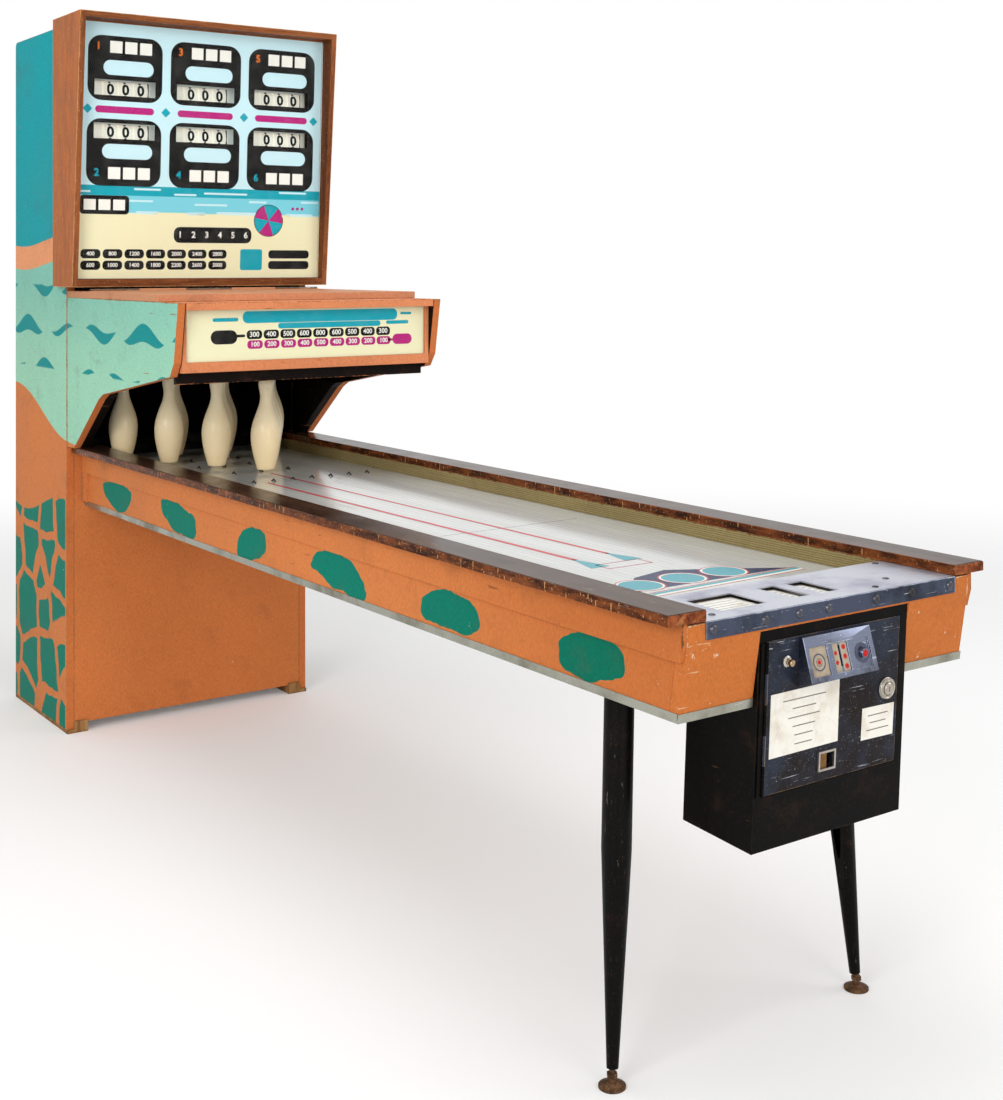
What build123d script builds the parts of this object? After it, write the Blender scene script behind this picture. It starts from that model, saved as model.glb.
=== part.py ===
from build123d import *
import math
import os

# A puck bowling machine: a tall cabinet with a score head, a hood over ten hinged pins,
# and a long lane that stands on two splayed legs at the player's end.
# Millimetres. X is to the player's right, Y runs from the player to the back, Z is up.
# The origin is under the middle of the machine, on the floor.

# Whole machine
overall_length = 2608.0
cabinet_depth = 394.0
cabinet_width = 655.0
side_height = 1736.0
board = 19.0
thin_board = 6.0
seat_gap = 0.3
overrun = 20.0
front_y = -overall_length / 2
rear_y = overall_length / 2
face_y = rear_y - cabinet_depth
half_cabinet = cabinet_width / 2
inner_cabinet = half_cabinet - board
coin_head_overhang = 17.5
rail_front_y = front_y + coin_head_overhang

# Cabinet
side_corner_radius = 12.0
skid_width = 52.0
skid_foot = 9.0
skid_height = 28.0
skid_proud = 6.0
base_top = skid_height + board
front_panel_low = 22.0
top_board_setback = 12.0
pit_half_width = 285.0
pit_high = 1050.0
back_stile = 56.0
back_lip = 10.0
back_rail_low = 200.0
back_rail_high = 1560.0
rear_door_board = 12.0
rear_door_gap = 1.5
rear_pivot_gap = 3.0
rear_pivot_inset = 8.0
rear_pivot_radius = 3.0
rear_pivot_length = 10.0
louvre_count = 6
louvre_length = 130.0
louvre_height = 8.0
louvre_pitch = 26.0
louvre_top_drop = 90.0
rear_lock_radius = 11.0
rear_lock_height = 6.0

# Backglass door
frame_board = 14.0
frame_clearance = 3.0
frame_low = 1094.0
frame_high = 1752.0
frame_lean_high = 144.0
frame_lean_low = 86.0
frame_wrap = 50.0
frame_half = half_cabinet + frame_clearance + frame_board
frame_inner_half = frame_half - frame_board
bottom_board = 18.0
glass = 5.0
glass_forward_high = 100.0
glass_forward_low = 70.0
glass_margin = 2.5
ledge_width = 12.0
ledge_depth = 8.0

# Hinges
knuckle_radius = 3.0
knuckle_pin_radius = 1.5
knuckle_gap = 0.3
running_clearance = 0.06
leaf = 1.5
leaf_width = 9.0
knuckle_count = 5
hinge_end_inset = 20.0

# Score unit
insert_sheet = 5.0
insert_forward = 46.0
insert_half = 300.0
insert_low = 1126.0
insert_high = 1724.0
insert_rear = 32.0
window_width = 157.0
window_height = 38.0
window_pitch = 212.0
window_row_high = 1579.0
window_row_low = 1474.0
lamp_window_width = 107.0
lamp_window_height = 32.0
lamp_row_high = 1673.0
lamp_row_low = 1372.0
reel_radius = 45.0
reel_pitch = 39.0
reel_wall = 2.5
reel_web = 3.0
reel_gap = 1.0
reel_shaft_radius = 5.0
units_per_row = 3
reels_per_unit = 4

# Machinery inside the cabinet
relay_board_y = 250.0
relay_board_high = 620.0
relay_foot = 70.0
relay_rows = 2
relay_columns = 4
relay_body = (44.0, 38.0, 52.0)
relay_coil_radius = 13.0
relay_coil_length = 30.0
stepper_radius = 62.0
stepper_depth = 26.0
stepper_high_share = 0.78
relay_low_share = 0.16
relay_rise_share = 0.2
transformer_core = (96.0, 78.0, 80.0)
transformer_coil_grow = 14.0
transformer_coil_height = 48.0
transformer_x = -150.0
transformer_y = 88.0
transformer_foot = (124.0, 4.0)

# Lane
rail_top = 703.0
rail_thickness = 15.0
rail_width = 65.6
rail_half = 315.5
rail_edge_radius = 3.0
rail_under = rail_top - rail_thickness
rail_inner = rail_half - rail_width
lane_half = 281.5
lane_inner = lane_half - board
lane_low = 557.0
lane_joint_gap = 1.0
batten = 8.0
batten_low = 637.0
end_batten_width = 27.0
end_strip = 4.0
playfield_top = 661.0
playfield_under = playfield_top - board
playfield_rear = 112.0
playfield_front_gap = 6.0
liner_gap = 0.2
front_slope = 17.5
front_panel_high = 685.0
band = 2.0
band_low = 663.0
trim_sheet = 1.5
trim_height = 11.0
trim_return = 13.0
bottom_ply = 9.0

# Pins
pin_height = 214.0
pin_base_z = 670.0
pin_base_radius = 20.5
pin_outline_shares = ((0.15186916, 0.21028037), (0.16588785, 0.36448598), (0.12850467, 0.5046729),
                      (0.06074766, 0.6588785), (0.08878505, 0.89719626), (0.04672897, 1))
pin_column = 67.0
pin_row = 126.0
pin_front = 424.0
pivot_rise = 14.0
hanger_strap = (12.0, 3.0)
hanger_eye_radius = 5.0
hanger_eye_length = 14.0
hanger_sink = 4.0
pivot_radius = 2.0
lug_gap = 0.3
lug = 3.0
lug_width = 14.0
lug_drop = 6.0
rack_low = 952.0
rack_sheet = 6.0
rack_front = 470.0
rack_rear = 16.0
pin_rows = 4

# Hood
hood_half = 326.0
hood_top = 1068.0
hood_front = 673.0
hood_knee_y = 651.0
hood_knee_z = 941.0
hood_lip_y = 630.0
hood_lip_z = 911.0
hood_heel_y = 241.0
hood_heel_z = 847.0
hood_chamfer_y = 214.0
hood_chamfer_z = 834.0
hood_toe_y = 46.0
hood_gap = 1.0
cheek = 19.0
lid_board = 16.0
rear_rail_depth = 105.0
lid_front = 560.0
lid_seam = 1.0
hood_rail_height = 22.0
hood_rail_depth = 34.0
hood_stile = 10.0
hood_stile_depth = 10.0
hood_frame_top = 16.0
hood_glass = 3.0
hood_glass_setback = 648.0
hood_glass_groove = 5.0
valance_board = 12.0
valance_setback = 618.0
valance_low = 893.0
valance_high = 918.0

# Rebound cushion, far enough back for the last row of pins to fold over it
cushion_front = 100.0
cushion_depth = 22.0
cushion_height = 44.0
cushion_rubber = 14.0
cushion_nose = 8.0

# Rollovers: one entry for each row is its distance in front of the cabinet face,
# the number of wires and the distance between two wires
rollover_rows = ((561.0, 9, 48.5), (400.0, 3, 70.0), (268.0, 4, 66.0), (140.0, 5, 64.0))
wire = 2.4
wire_length = 22.0
wire_rise = 6.0
wire_travel = 3.0
wire_slot_gap = 1.0
wire_leg_drop = 9.0
carrier_bar = 7.0
carrier_overhang = 26.0
carrier_gap = 2.0
guide_wall = 4.0
guide_width = 12.0
guide_drop = 18.0

# Apron
apron_sheet = 2.0
apron_top = 687.0
apron_depth = 145.0
apron_bend_radius = 2.5
card_openings = ((-190.0, 87.0), (-52.0, 33.0), (4.0, 35.0))
card_front = 36.0
card_depth = 74.0
card_tray_drop = 5.0
card_tray_sheet = 1.5
card_tray_margin = 9.0
bolt_radius = 3.0
bolt_head_radius = 6.5
bolt_head_height = 2.5
bolt_length = 13.0
bolt_z = 675.0
bolt_columns = (-237.0, -143.0, -78.0, -21.0, 76.0, 152.0, 237.0)
screw_places = ((-216.0, 26.0), (-216.0, 132.0), (95.0, 18.0), (152.0, 48.0), (226.0, 132.0))
screw_head_radius = 5.0
screw_head_height = 1.8
screw_shank_radius = 2.0
screw_length = 9.0

# Coin box
box_half = 149.0
box_top = 659.0
box_height = 304.0
box_depth = 136.0
box_setback = 5.5
box_lean = 3.0
box_sheet = 2.0
box_shoulder = 32.0
box_gap = 0.5
box_rim = 8.0
coin_door_half = 134.0
coin_door_top = 16.0
coin_door_low = 228.0
coin_door_sheet = 3.0
coin_door_gap = 1.0
coin_door_lip = 9.0
coin_door_flange = 9.0
coin_knuckle_radius = 2.2
coin_knuckle_pin = 1.0
coin_head_left = -72.0
coin_head_right = 62.0
coin_head_top = 18.0
coin_head_low = 87.0
coin_head_top_depth = 6.0
coin_head_face_low = 77.0
coin_head_windows = ((-65.0, 34.0), (-20.0, 30.0), (21.0, 33.0))
coin_window_top = 32.0
coin_window_low = 70.0
coin_window_depth = 2.5
coin_slot_x = -5.0
coin_slot_z = 50.0
coin_slot_width = 3.2
coin_slot_height = 27.0
reject_x = 38.0
reject_z = 51.0
reject_radius = 7.0
reject_travel = 3.5
reject_proud = 4.5
reject_stem_radius = 3.5
start_x = -95.0
start_z = 48.0
start_bush_radius = 8.0
start_bush_proud = 4.0
start_radius = 5.0
start_proud = 13.0
stem_reach = 24.0
stem_collar = 2.0
reject_rest = 1.5
lock_x = 110.0
lock_z = 118.0
lock_bezel_radius = 15.5
lock_bezel_proud = 3.0
lock_radius = 9.0
lock_proud = 7.0
lock_back = 20.0
lock_cam = (34.0, 12.0, 2.5)
strike_width = 12.0
key_slot = (1.6, 8.0, 3.0)
cup_left = -27.0
cup_right = 7.0
cup_top = 186.0
cup_low = 214.0
cup_rim = 3.0
cup_proud = 3.0
cup_depth = 34.0
cup_wall = 1.2
flap_sheet = 1.5
flap_width_share = 0.46
flap_pin_radius = 1.2
flap_gap = 0.4
mech_left = -66.0
mech_right = 56.0
mech_top = 38.0
mech_low = 168.0
mech_depth = 44.0
mech_front = 12.0
mech_sheet = 2.0
mech_plates = 4
can_height = 84.0
can_gap = 2.0
can_wall = 1.2
can_depth = 112.0
can_front = 11.0

# Legs
leg_foot_x = 250.0
leg_foot_y = 192.0
leg_top_x = 212.0
leg_top_y = 221.0
leg_radius = 22.0
leg_toe_radius = 8.5
leg_knee_z = 325.0
leg_toe_z = 26.0
leg_wall = 2.5
leg_mouth_share = 0.62
leg_flange = (84.0, 84.0, 4.0)
leg_flange_bolt = 30.0
leg_bolt_head = 4.0
leveller_radius = 19.5
leveller_rim = 3.0
leveller_dome = 8.0
leveller_stud_radius = 4.0
leveller_stud_top = 58.0
leveller_nut_radius = 8.0
leveller_nut_height = 6.0
leveller_nut_z = 14.0

parts = {}


def block(x0, x1, y0, y1, z0, z1):
    """A box between two corners."""
    centre = ((x0 + x1) / 2, (y0 + y1) / 2, (z0 + z1) / 2)
    return Pos(*centre) * Box(x1 - x0, y1 - y0, z1 - z0)


def outline(points):
    return make_face(Polyline(*points, close=True).edges())


def side_shape(points, x0, x1):
    """A board cut to an outline of (y, z) points, as seen from the side."""
    return extrude(Plane.YZ.offset(x0) * outline(points), amount=x1 - x0)


def rod(start, end, radius):
    along = Vector(*end) - Vector(*start)
    plane = Plane(origin=start, z_dir=along)
    seat = (Align.CENTER, Align.CENTER, Align.MIN)
    return plane * Cylinder(radius, along.length, align=seat)


def mirrored(shape):
    return mirror(shape, about=Plane.YZ)


def keep(name, *shapes):
    """Stores one named sub-part, of one solid or several separate ones."""
    solids = [solid for shape in shapes for solid in shape.solids()]
    parts[name] = Compound(solids)


def knuckle_hinge(length, radius, pin_radius, leaf_reach, count, turn):
    """A piano hinge on local Z. The fixed leaf lies towards +X, the moving one towards -X,
    both against the plane y = -radius; turn swings the moving leaf about the pin."""
    step = length / count
    fixed = rod((0, 0, 0), (0, 0, length), pin_radius)
    fixed_leaf = block(radius + knuckle_gap, leaf_reach, -radius, leaf - radius, 0, length)
    moving = block(-leaf_reach, -radius - knuckle_gap, -radius, leaf - radius, 0, length)
    fixed += fixed_leaf
    for index in range(count):
        low = index * step + knuckle_gap
        high = (index + 1) * step - knuckle_gap
        barrel = rod((0, 0, low), (0, 0, high), radius)
        if index % 2 == 0:
            fixed += barrel + block(0, radius + leaf, -radius, leaf - radius, low, high)
        else:
            tab = block(-radius - leaf, 0, -radius, leaf - radius, low, high)
            moving += barrel + tab
    moving -= rod((0, 0, -overrun), (0, 0, length + overrun), pin_radius + running_clearance)
    return fixed, Rot(0, 0, turn) * moving


# Cabinet

def cabinet_side():
    outer = block(inner_cabinet, half_cabinet, face_y, rear_y, skid_foot, side_height)
    corner = outer.edges().filter_by(Axis.X).group_by(Axis.Z)[-1].sort_by(Axis.Y)[-1]
    return fillet(corner, side_corner_radius)


def cabinet_skid():
    low = half_cabinet - skid_width
    front = face_y - skid_proud
    under = block(low, half_cabinet, front, rear_y, 0, skid_foot)
    beside = block(low, inner_cabinet, front, rear_y, 0, skid_height)
    return under + beside


def cabinet_base():
    inside = face_y + board
    return block(-inner_cabinet, inner_cabinet, inside, rear_y - board, skid_height, base_top)


def cabinet_front():
    """The front board, open behind the pins so that they can fold back into the cabinet."""
    top = frame_low - frame_clearance
    panel = block(-inner_cabinet, inner_cabinet, face_y, face_y + board, front_panel_low, top)
    low = playfield_under - seat_gap
    pit = block(-pit_half_width, pit_half_width, face_y - overrun, face_y + board + overrun, low, pit_high)
    panel -= pit
    skid = block(half_cabinet - skid_width, half_cabinet, face_y - overrun, face_y + board + overrun, 0,
                 skid_height)
    return panel - skid - mirrored(skid)


def cabinet_top():
    low = side_height - board
    return block(-inner_cabinet, inner_cabinet, face_y + top_board_setback, rear_y - board, low, side_height)


def back_frame():
    """Stiles and rails round the rear door, with a stop on the three sides away from the pivots."""
    inner = inner_cabinet - back_stile
    deep = rear_y - board
    frame = block(-inner_cabinet, inner_cabinet, deep, rear_y, base_top, side_height)
    low = back_rail_low - back_lip
    high = back_rail_high + back_lip
    rebate = block(-inner, inner, rear_y - rear_door_board, rear_y + overrun, low, high)
    through = block(-inner, inner - back_lip, deep - overrun, rear_y, back_rail_low, back_rail_high)
    swing = block(-inner, rear_pivot_x() + rear_door_board, deep - overrun, rear_y, low, high)
    frame = frame - rebate - through - swing
    for z, way in ((low, 1), (high, -1)):
        end = z + way * rear_pivot_length
        frame += rod((rear_pivot_x(), rear_pivot_y(), z - way), (rear_pivot_x(), rear_pivot_y(), end),
                     rear_pivot_radius)
    return frame


def rear_pivot_x():
    return -(inner_cabinet - back_stile) + rear_pivot_gap + rear_pivot_inset


def rear_pivot_y():
    return rear_y - rear_door_board / 2


def rear_door():
    inner = inner_cabinet - back_stile
    low = back_rail_low - back_lip + rear_door_gap
    high = back_rail_high + back_lip - rear_door_gap
    left = -inner + rear_pivot_gap
    door = block(left, inner - rear_door_gap, rear_y - rear_door_board, rear_y, low, high)
    bore = rear_pivot_radius + running_clearance
    door -= rod((rear_pivot_x(), rear_pivot_y(), low - overrun),
                (rear_pivot_x(), rear_pivot_y(), low + rear_pivot_length), bore)
    door -= rod((rear_pivot_x(), rear_pivot_y(), high - rear_pivot_length),
                (rear_pivot_x(), rear_pivot_y(), high + overrun), bore)
    for index in range(louvre_count):
        z = high - louvre_top_drop - index * louvre_pitch
        for side in (-1, 1):
            x = side * louvre_length * (1 + 1 / louvre_count) / 2
            slot = block(x - louvre_length / 2, x + louvre_length / 2, rear_y - overrun,
                         rear_y + overrun, z, z + louvre_height)
            door -= slot
    lock_at = inner - back_stile
    middle = (low + high) / 2
    lock = rod((lock_at, rear_y - rear_door_board - rear_lock_height, middle),
               (lock_at, rear_y, middle), rear_lock_radius)
    return door + lock


# Backglass door

def frame_front(z):
    """How far the door's front stands before the cabinet face at a height."""
    share = (z - frame_low) / (frame_high - frame_low)
    return frame_lean_low + share * (frame_lean_high - frame_lean_low)


def frame_outline(low, high, front_extra, rear):
    points = [(face_y - frame_front(low) - front_extra, low), (face_y - frame_front(high) - front_extra, high)]
    return points + [(rear, high), (rear, low)]


def glass_plane():
    """Local X is to the right, local Y into the cabinet and local Z up the glass."""
    rise = frame_high - frame_low - frame_board - bottom_board
    lean = math.degrees(math.atan2(glass_forward_high - glass_forward_low, rise))
    foot = (0, face_y - glass_forward_low, frame_low + bottom_board)
    return Pos(*foot) * Rot(lean, 0, 0), math.hypot(rise, glass_forward_high - glass_forward_low)


def backglass_frame():
    wrap_y = face_y + frame_wrap
    outer = side_shape(frame_outline(frame_low, frame_high, 0, wrap_y), -frame_half, frame_half)
    inner_low = frame_low + bottom_board
    inner_high = frame_high - frame_board
    hole = frame_outline(inner_low, inner_high, overrun, wrap_y + overrun)
    frame = outer - side_shape(hole, -frame_inner_half, frame_inner_half)
    throat = block(-frame_inner_half, frame_inner_half, face_y - frame_clearance, wrap_y + overrun,
                   frame_low - overrun, inner_low + seat_gap)
    frame -= throat
    place, rise = glass_plane()
    back = glass + seat_gap
    ledge_outer = block(-frame_inner_half - seat_gap, frame_inner_half + seat_gap, back, back + ledge_depth,
                        -seat_gap, rise + seat_gap)
    ledge_hole = block(ledge_width - frame_inner_half, frame_inner_half - ledge_width, 0, overrun,
                       ledge_width, rise - ledge_width)
    frame += place * (ledge_outer - ledge_hole)
    fixed, moving = backglass_hinge()
    return frame + moving, fixed


def backglass_hinge():
    length = frame_high - frame_low - 2 * hinge_end_inset
    reach = knuckle_radius + knuckle_gap + leaf_width
    fixed, moving = knuckle_hinge(length, knuckle_radius, knuckle_pin_radius, reach, knuckle_count, -90)
    place = Plane(origin=backglass_axis(), x_dir=(0, 1, 0), z_dir=(0, 0, 1))
    return place * fixed, place * moving


def backglass_axis():
    x = -half_cabinet - knuckle_radius - seat_gap
    return (x, face_y + frame_wrap + knuckle_radius, frame_low + hinge_end_inset)


def backglass():
    place, rise = glass_plane()
    half = frame_inner_half - glass_margin
    return place * block(-half, half, 0, glass, seat_gap, rise - glass_margin)


# Score unit

def light_board():
    """A shallow tray: the front sheet has the reel and lamp windows, its rim carries the shafts."""
    front = face_y - insert_forward
    rear = face_y + insert_rear
    rim_half = inner_cabinet - seat_gap
    tray = block(-insert_half, insert_half, front, rear, insert_low, insert_high)
    hollow_half = insert_half - thin_board
    hollow_low = insert_low + thin_board
    hollow_high = insert_high - thin_board
    tray -= block(-hollow_half, hollow_half, front + insert_sheet, rear + overrun, hollow_low, hollow_high)
    inside = face_y + seat_gap
    for side in (-1, 1):
        low, high = sorted((side * hollow_half, side * rim_half))
        tray += block(low, high, inside, rear, insert_low, insert_high)
    for column in range(units_per_row):
        x = (column - (units_per_row - 1) / 2) * window_pitch
        for z in (window_row_high, window_row_low):
            tray -= window(x, z, window_width, window_height, front)
        for z in (lamp_row_high, lamp_row_low):
            tray -= window(x, z, lamp_window_width, lamp_window_height, front)
    for z in (window_row_high, window_row_low):
        bore = reel_shaft_radius + running_clearance
        tray -= rod((-half_cabinet, reel_axis_y(), z), (half_cabinet, reel_axis_y(), z), bore)
    ceiling = side_height - board - seat_gap
    return tray - block(-half_cabinet, half_cabinet, inside, rear + overrun, ceiling, insert_high + overrun)


def window(x, z, width, height, front):
    return block(x - width / 2, x + width / 2, front - overrun, front + insert_sheet,
                 z - height / 2, z + height / 2)


def reel_axis_y():
    return face_y - insert_forward + insert_sheet + reel_gap + reel_radius


def reel_row(z):
    """Three units on one shaft, each of four score drums side by side with one web."""
    y = reel_axis_y()
    half = inner_cabinet - seat_gap
    width = reels_per_unit * reel_pitch
    row = rod((-half, y, z), (half, y, z), reel_shaft_radius)
    for column in range(units_per_row):
        x = (column - (units_per_row - 1) / 2) * window_pitch - width / 2
        drum = rod((x, y, z), (x + width, y, z), reel_radius)
        drum -= rod((x + reel_web, y, z), (x + width + overrun, y, z), reel_radius - reel_wall)
        row += drum + rod((x, y, z), (x + width, y, z), reel_shaft_radius)
    return row


# Machinery

def relay_panel():
    y = face_y + relay_board_y
    half = inner_cabinet - back_stile
    floor = base_top
    panel = block(-half, half, y, y + board, floor, relay_board_high)
    panel += block(-half, half, y - relay_foot, y + board, floor, floor + board)
    rise = relay_board_high - floor
    width, depth, height = relay_body
    for row in range(relay_rows):
        z = floor + rise * (relay_low_share + row * relay_rise_share)
        for column in range(relay_columns):
            x = (column - (relay_columns - 1) / 2) * 2 * half / relay_columns
            panel += block(x - width / 2, x + width / 2, y - depth, y, z, z + height)
            coil_z = z + height / 2
            panel += rod((x, y - depth - relay_coil_length, coil_z), (x, y - depth, coil_z), relay_coil_radius)
    stepper_z = floor + rise * stepper_high_share + stepper_radius / 2
    for side in (-1, 1):
        x = side * half / 2
        panel += rod((x, y - stepper_depth, stepper_z), (x, y, stepper_z), stepper_radius)
        panel += rod((x, y - 2 * stepper_depth, stepper_z), (x, y, stepper_z), relay_coil_radius)
    return panel


def transformer():
    width, depth, height = transformer_core
    foot_width, foot_sheet = transformer_foot
    y = face_y + transformer_y
    low = base_top
    core = block(transformer_x - width / 2, transformer_x + width / 2, y - depth / 2, y + depth / 2,
                 low + foot_sheet, low + foot_sheet + height)
    grow = transformer_coil_grow
    middle = low + foot_sheet + height / 2
    coil = block(transformer_x - width / 4, transformer_x + width / 4, y - depth / 2 - grow,
                 y + depth / 2 + grow, middle - transformer_coil_height / 2, middle + transformer_coil_height / 2)
    coil = fillet(coil.edges().filter_by(Axis.Z), grow / 2)
    foot = block(transformer_x - foot_width / 2, transformer_x + foot_width / 2, y - depth / 2, y + depth / 2,
                 low, low + foot_sheet)
    return core + coil + foot


# Lane

def front_panel_y(z):
    """The front board leans: its foot is set back from its top."""
    share = (band_low - z) / (band_low - lane_low)
    return rail_front_y + band + max(share, 0) * front_slope


def lane_rear():
    return face_y - lane_joint_gap


def lane_side():
    """Side board with the batten under the rail, the end batten and the inner liner."""
    rear = lane_rear()
    points = [(front_panel_y(lane_low) + board, lane_low), (front_panel_y(band_low) + board, band_low),
              (front_panel_y(band_low) + board, rail_under), (rear, rail_under), (rear, lane_low)]
    side = side_shape(points, lane_inner, lane_half)
    outer = lane_half + batten
    front = front_panel_y(band_low)
    strip = [(front + front_slope * (rail_under - batten_low) / (rail_under - lane_low), batten_low),
             (front, band_low), (front, rail_under), (rear, rail_under), (rear, batten_low)]
    side += side_shape(strip, lane_half, outer)
    end = rear - end_strip
    side += block(lane_half, outer, end - end_batten_width, end, lane_low + trim_height, batten_low)
    liner_rear = face_y
    side += block(rail_inner, lane_inner, rail_front_y + apron_depth + seat_gap, liner_rear - lane_joint_gap,
                  playfield_top + liner_gap, rail_under)
    return side


def rail():
    body = block(rail_inner, rail_half, rail_front_y, lane_rear(), rail_under, rail_top)
    edges = body.edges().filter_by(Axis.Y).group_by(Axis.X)[-1].sort_by(Axis.Z)[-1]
    ends = body.edges().filter_by(Axis.X).group_by(Axis.Y)[0].sort_by(Axis.Z)[-1]
    return fillet([edges, ends], rail_edge_radius)


def lane_front():
    high = front_panel_high
    low = [(front_panel_y(lane_low), lane_low), (front_panel_y(band_low), band_low)]
    thick = board - seat_gap
    points = low + [(front_panel_y(band_low), high), (front_panel_y(band_low) + thick, high)]
    points += [(y + thick, z) for y, z in reversed(low)]
    panel = side_shape(points, -lane_half, lane_half)
    upper = block(rail_inner - seat_gap, lane_half + overrun, rail_front_y - overrun, rail_front_y + 2 * board,
                  rail_under - seat_gap, rail_top)
    panel = panel - upper - mirrored(upper)
    notch_half = box_half + box_gap
    panel -= block(-notch_half, notch_half, rail_front_y - overrun, rail_front_y + 3 * board,
                   lane_low - overrun, box_top + box_gap)
    return panel


def lane_bottom():
    front = front_panel_y(lane_low) + board
    floor = block(-lane_inner + seat_gap, lane_inner - seat_gap, front, lane_rear(),
                  lane_low + trim_sheet, lane_low + trim_sheet + bottom_ply)
    notch_half = box_half + box_gap
    rear = rail_front_y + box_setback + box_depth + 2 * board
    return floor - block(-notch_half, notch_half, front - overrun, rear, lane_low - overrun, playfield_under)


def playfield():
    """The lane surface, with slots for the rollover wires and the guides of their carriers."""
    front = rail_front_y + board + playfield_front_gap
    rear = face_y + playfield_rear
    half = lane_inner - liner_gap
    top = block(-half, half, front, rear, playfield_under, playfield_top)
    for setback, count, pitch in rollover_rows:
        y = face_y - setback
        for x in wire_places(count, pitch):
            gap = wire / 2 + wire_slot_gap
            reach = wire_length / 2 + wire_slot_gap
            top -= block(x - gap, x + gap, y - reach, y + reach, playfield_under - overrun, playfield_top + overrun)
        end = (count - 1) * pitch / 2 + carrier_overhang
        for side in (-1, 1):
            top += carrier_guide(side * end, y)
    return top


def carrier_guide(x, y):
    """A U-shaped bracket under the playfield that holds one end of a rollover carrier."""
    side = 1 if x > 0 else -1
    inner = x - side * guide_width / 2
    outer = x + side * guide_width / 2
    low, high = sorted((inner, outer + side * guide_wall))
    wide = carrier_bar / 2 + seat_gap + guide_wall
    under = playfield_under - guide_drop
    bracket = block(low, high, y - wide, y + wide, under, playfield_under)
    slot_low, slot_high = sorted((inner - side * overrun, outer + side * seat_gap))
    slot_half = carrier_bar / 2 + seat_gap
    slot_floor = playfield_under - carrier_gap - carrier_bar - wire_travel - seat_gap
    return bracket - block(slot_low, slot_high, y - slot_half, y + slot_half, slot_floor, playfield_under)


def wire_places(count, pitch):
    return [(index - (count - 1) / 2) * pitch for index in range(count)]


def rollover_row(setback, count, pitch):
    """Peaked wires that stand through the playfield, on the bar that they press down."""
    y = face_y - setback
    top = playfield_under - carrier_gap
    half = (count - 1) * pitch / 2 + carrier_overhang + guide_width / 2
    row = block(-half, half, y - carrier_bar / 2, y + carrier_bar / 2, top - carrier_bar, top)
    reach = wire_length / 2
    crest = playfield_top + wire_rise
    low = playfield_top - wire_leg_drop
    for x in wire_places(count, pitch):
        arch = [(y - reach, low), (y - reach, playfield_top), (y, crest), (y + reach, playfield_top),
                (y + reach, low), (y + reach - wire, low), (y + reach - wire, playfield_top - wire / 2),
                (y, crest - wire), (y - reach + wire, playfield_top - wire / 2), (y - reach + wire, low)]
        row += side_shape(arch, x - wire / 2, x + wire / 2)
        row += block(x - wire / 2, x + wire / 2, y - reach, y + reach, low - wire, low)
        row += block(x - wire / 2, x + wire / 2, y - wire, y + wire, top - wire, low)
    return row


def edge_trim():
    """Folded metal edging along the foot of the lane, mitred at the front corners."""
    low = lane_low
    rear = lane_rear()
    outer = lane_half + trim_sheet
    top = low + trim_height
    front_low = front_panel_y(low)
    lean = front_slope / (band_low - lane_low)
    thick = trim_sheet
    wall = [(front_low - thick, low - thick), (front_low - lean * trim_height - thick, top),
            (front_low - lean * trim_height, top), (front_low, low),
            (front_low + trim_return, low), (front_low + trim_return, low - thick)]
    notch = box_half + box_gap
    left = side_shape(wall, notch, outer)
    side_wall = block(lane_half, outer, front_low - lean * trim_height, rear, low - thick, top)
    side_wall = side_wall - block(lane_half - overrun, outer + overrun, front_low - overrun, front_low, low, top)
    side_foot = block(lane_half - trim_return, outer, front_low - thick, rear, low - thick, low)
    strip = block(lane_half, lane_half + batten, rear - end_strip, rear, top, batten_low - seat_gap)
    right = left + side_wall + side_foot + strip
    return right, mirrored(right)


# Apron

def apron():
    """Folded sheet at the player's end, with three card openings and their tray."""
    half = rail_inner - seat_gap
    front = rail_front_y
    rear = front + apron_depth
    top = block(-half, half, front, rear, apron_top - apron_sheet, apron_top)
    band_wall = block(-half, half, front, front + band, band_low, apron_top)
    rear_wall = block(-half, half, rear - apron_sheet, rear, playfield_top + seat_gap, apron_top)
    sheet = top + band_wall + rear_wall
    bends = sheet.edges().filter_by(Axis.X).group_by(Axis.Z)[-1]
    sheet = fillet(bends, apron_bend_radius - band / 2)
    near = front + card_front
    far = near + card_depth
    for x, width in card_openings:
        sheet -= block(x, x + width, near, far, playfield_top, apron_top + overrun)
    left = card_openings[0][0] - card_tray_margin
    right = card_openings[-1][0] + card_openings[-1][1] + card_tray_margin
    tray_top = apron_top - apron_sheet - card_tray_drop
    tray = block(left, right, near - card_tray_margin, far + card_tray_margin, tray_top - card_tray_sheet,
                 apron_top - apron_sheet)
    wall = card_tray_sheet
    tray -= block(left + wall, right - wall, near - card_tray_margin + wall, far + card_tray_margin - wall,
                  tray_top, apron_top)
    sheet += tray
    return sheet


def apron_bolts():
    """The bolts and screws cut their own threads, so the sheet and the board have no holes here."""
    bolts = []
    for x in bolt_columns:
        bolt = rod((0, 0, 0), (0, 0, bolt_head_height), bolt_head_radius)
        bolt += rod((0, 0, 0), (0, 0, -bolt_length), bolt_radius)
        place = Plane(origin=(x, rail_front_y, bolt_z), x_dir=(1, 0, 0), z_dir=(0, -1, 0))
        bolts.append(place * bolt)
    for x, setback in screw_places:
        screw = rod((0, 0, 0), (0, 0, screw_head_height), screw_head_radius)
        screw += rod((0, 0, 0), (0, 0, -screw_length), screw_shank_radius)
        bolts.append(Pos(x, rail_front_y + setback, apron_top) * screw)
    return bolts


# Rebound cushion

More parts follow.
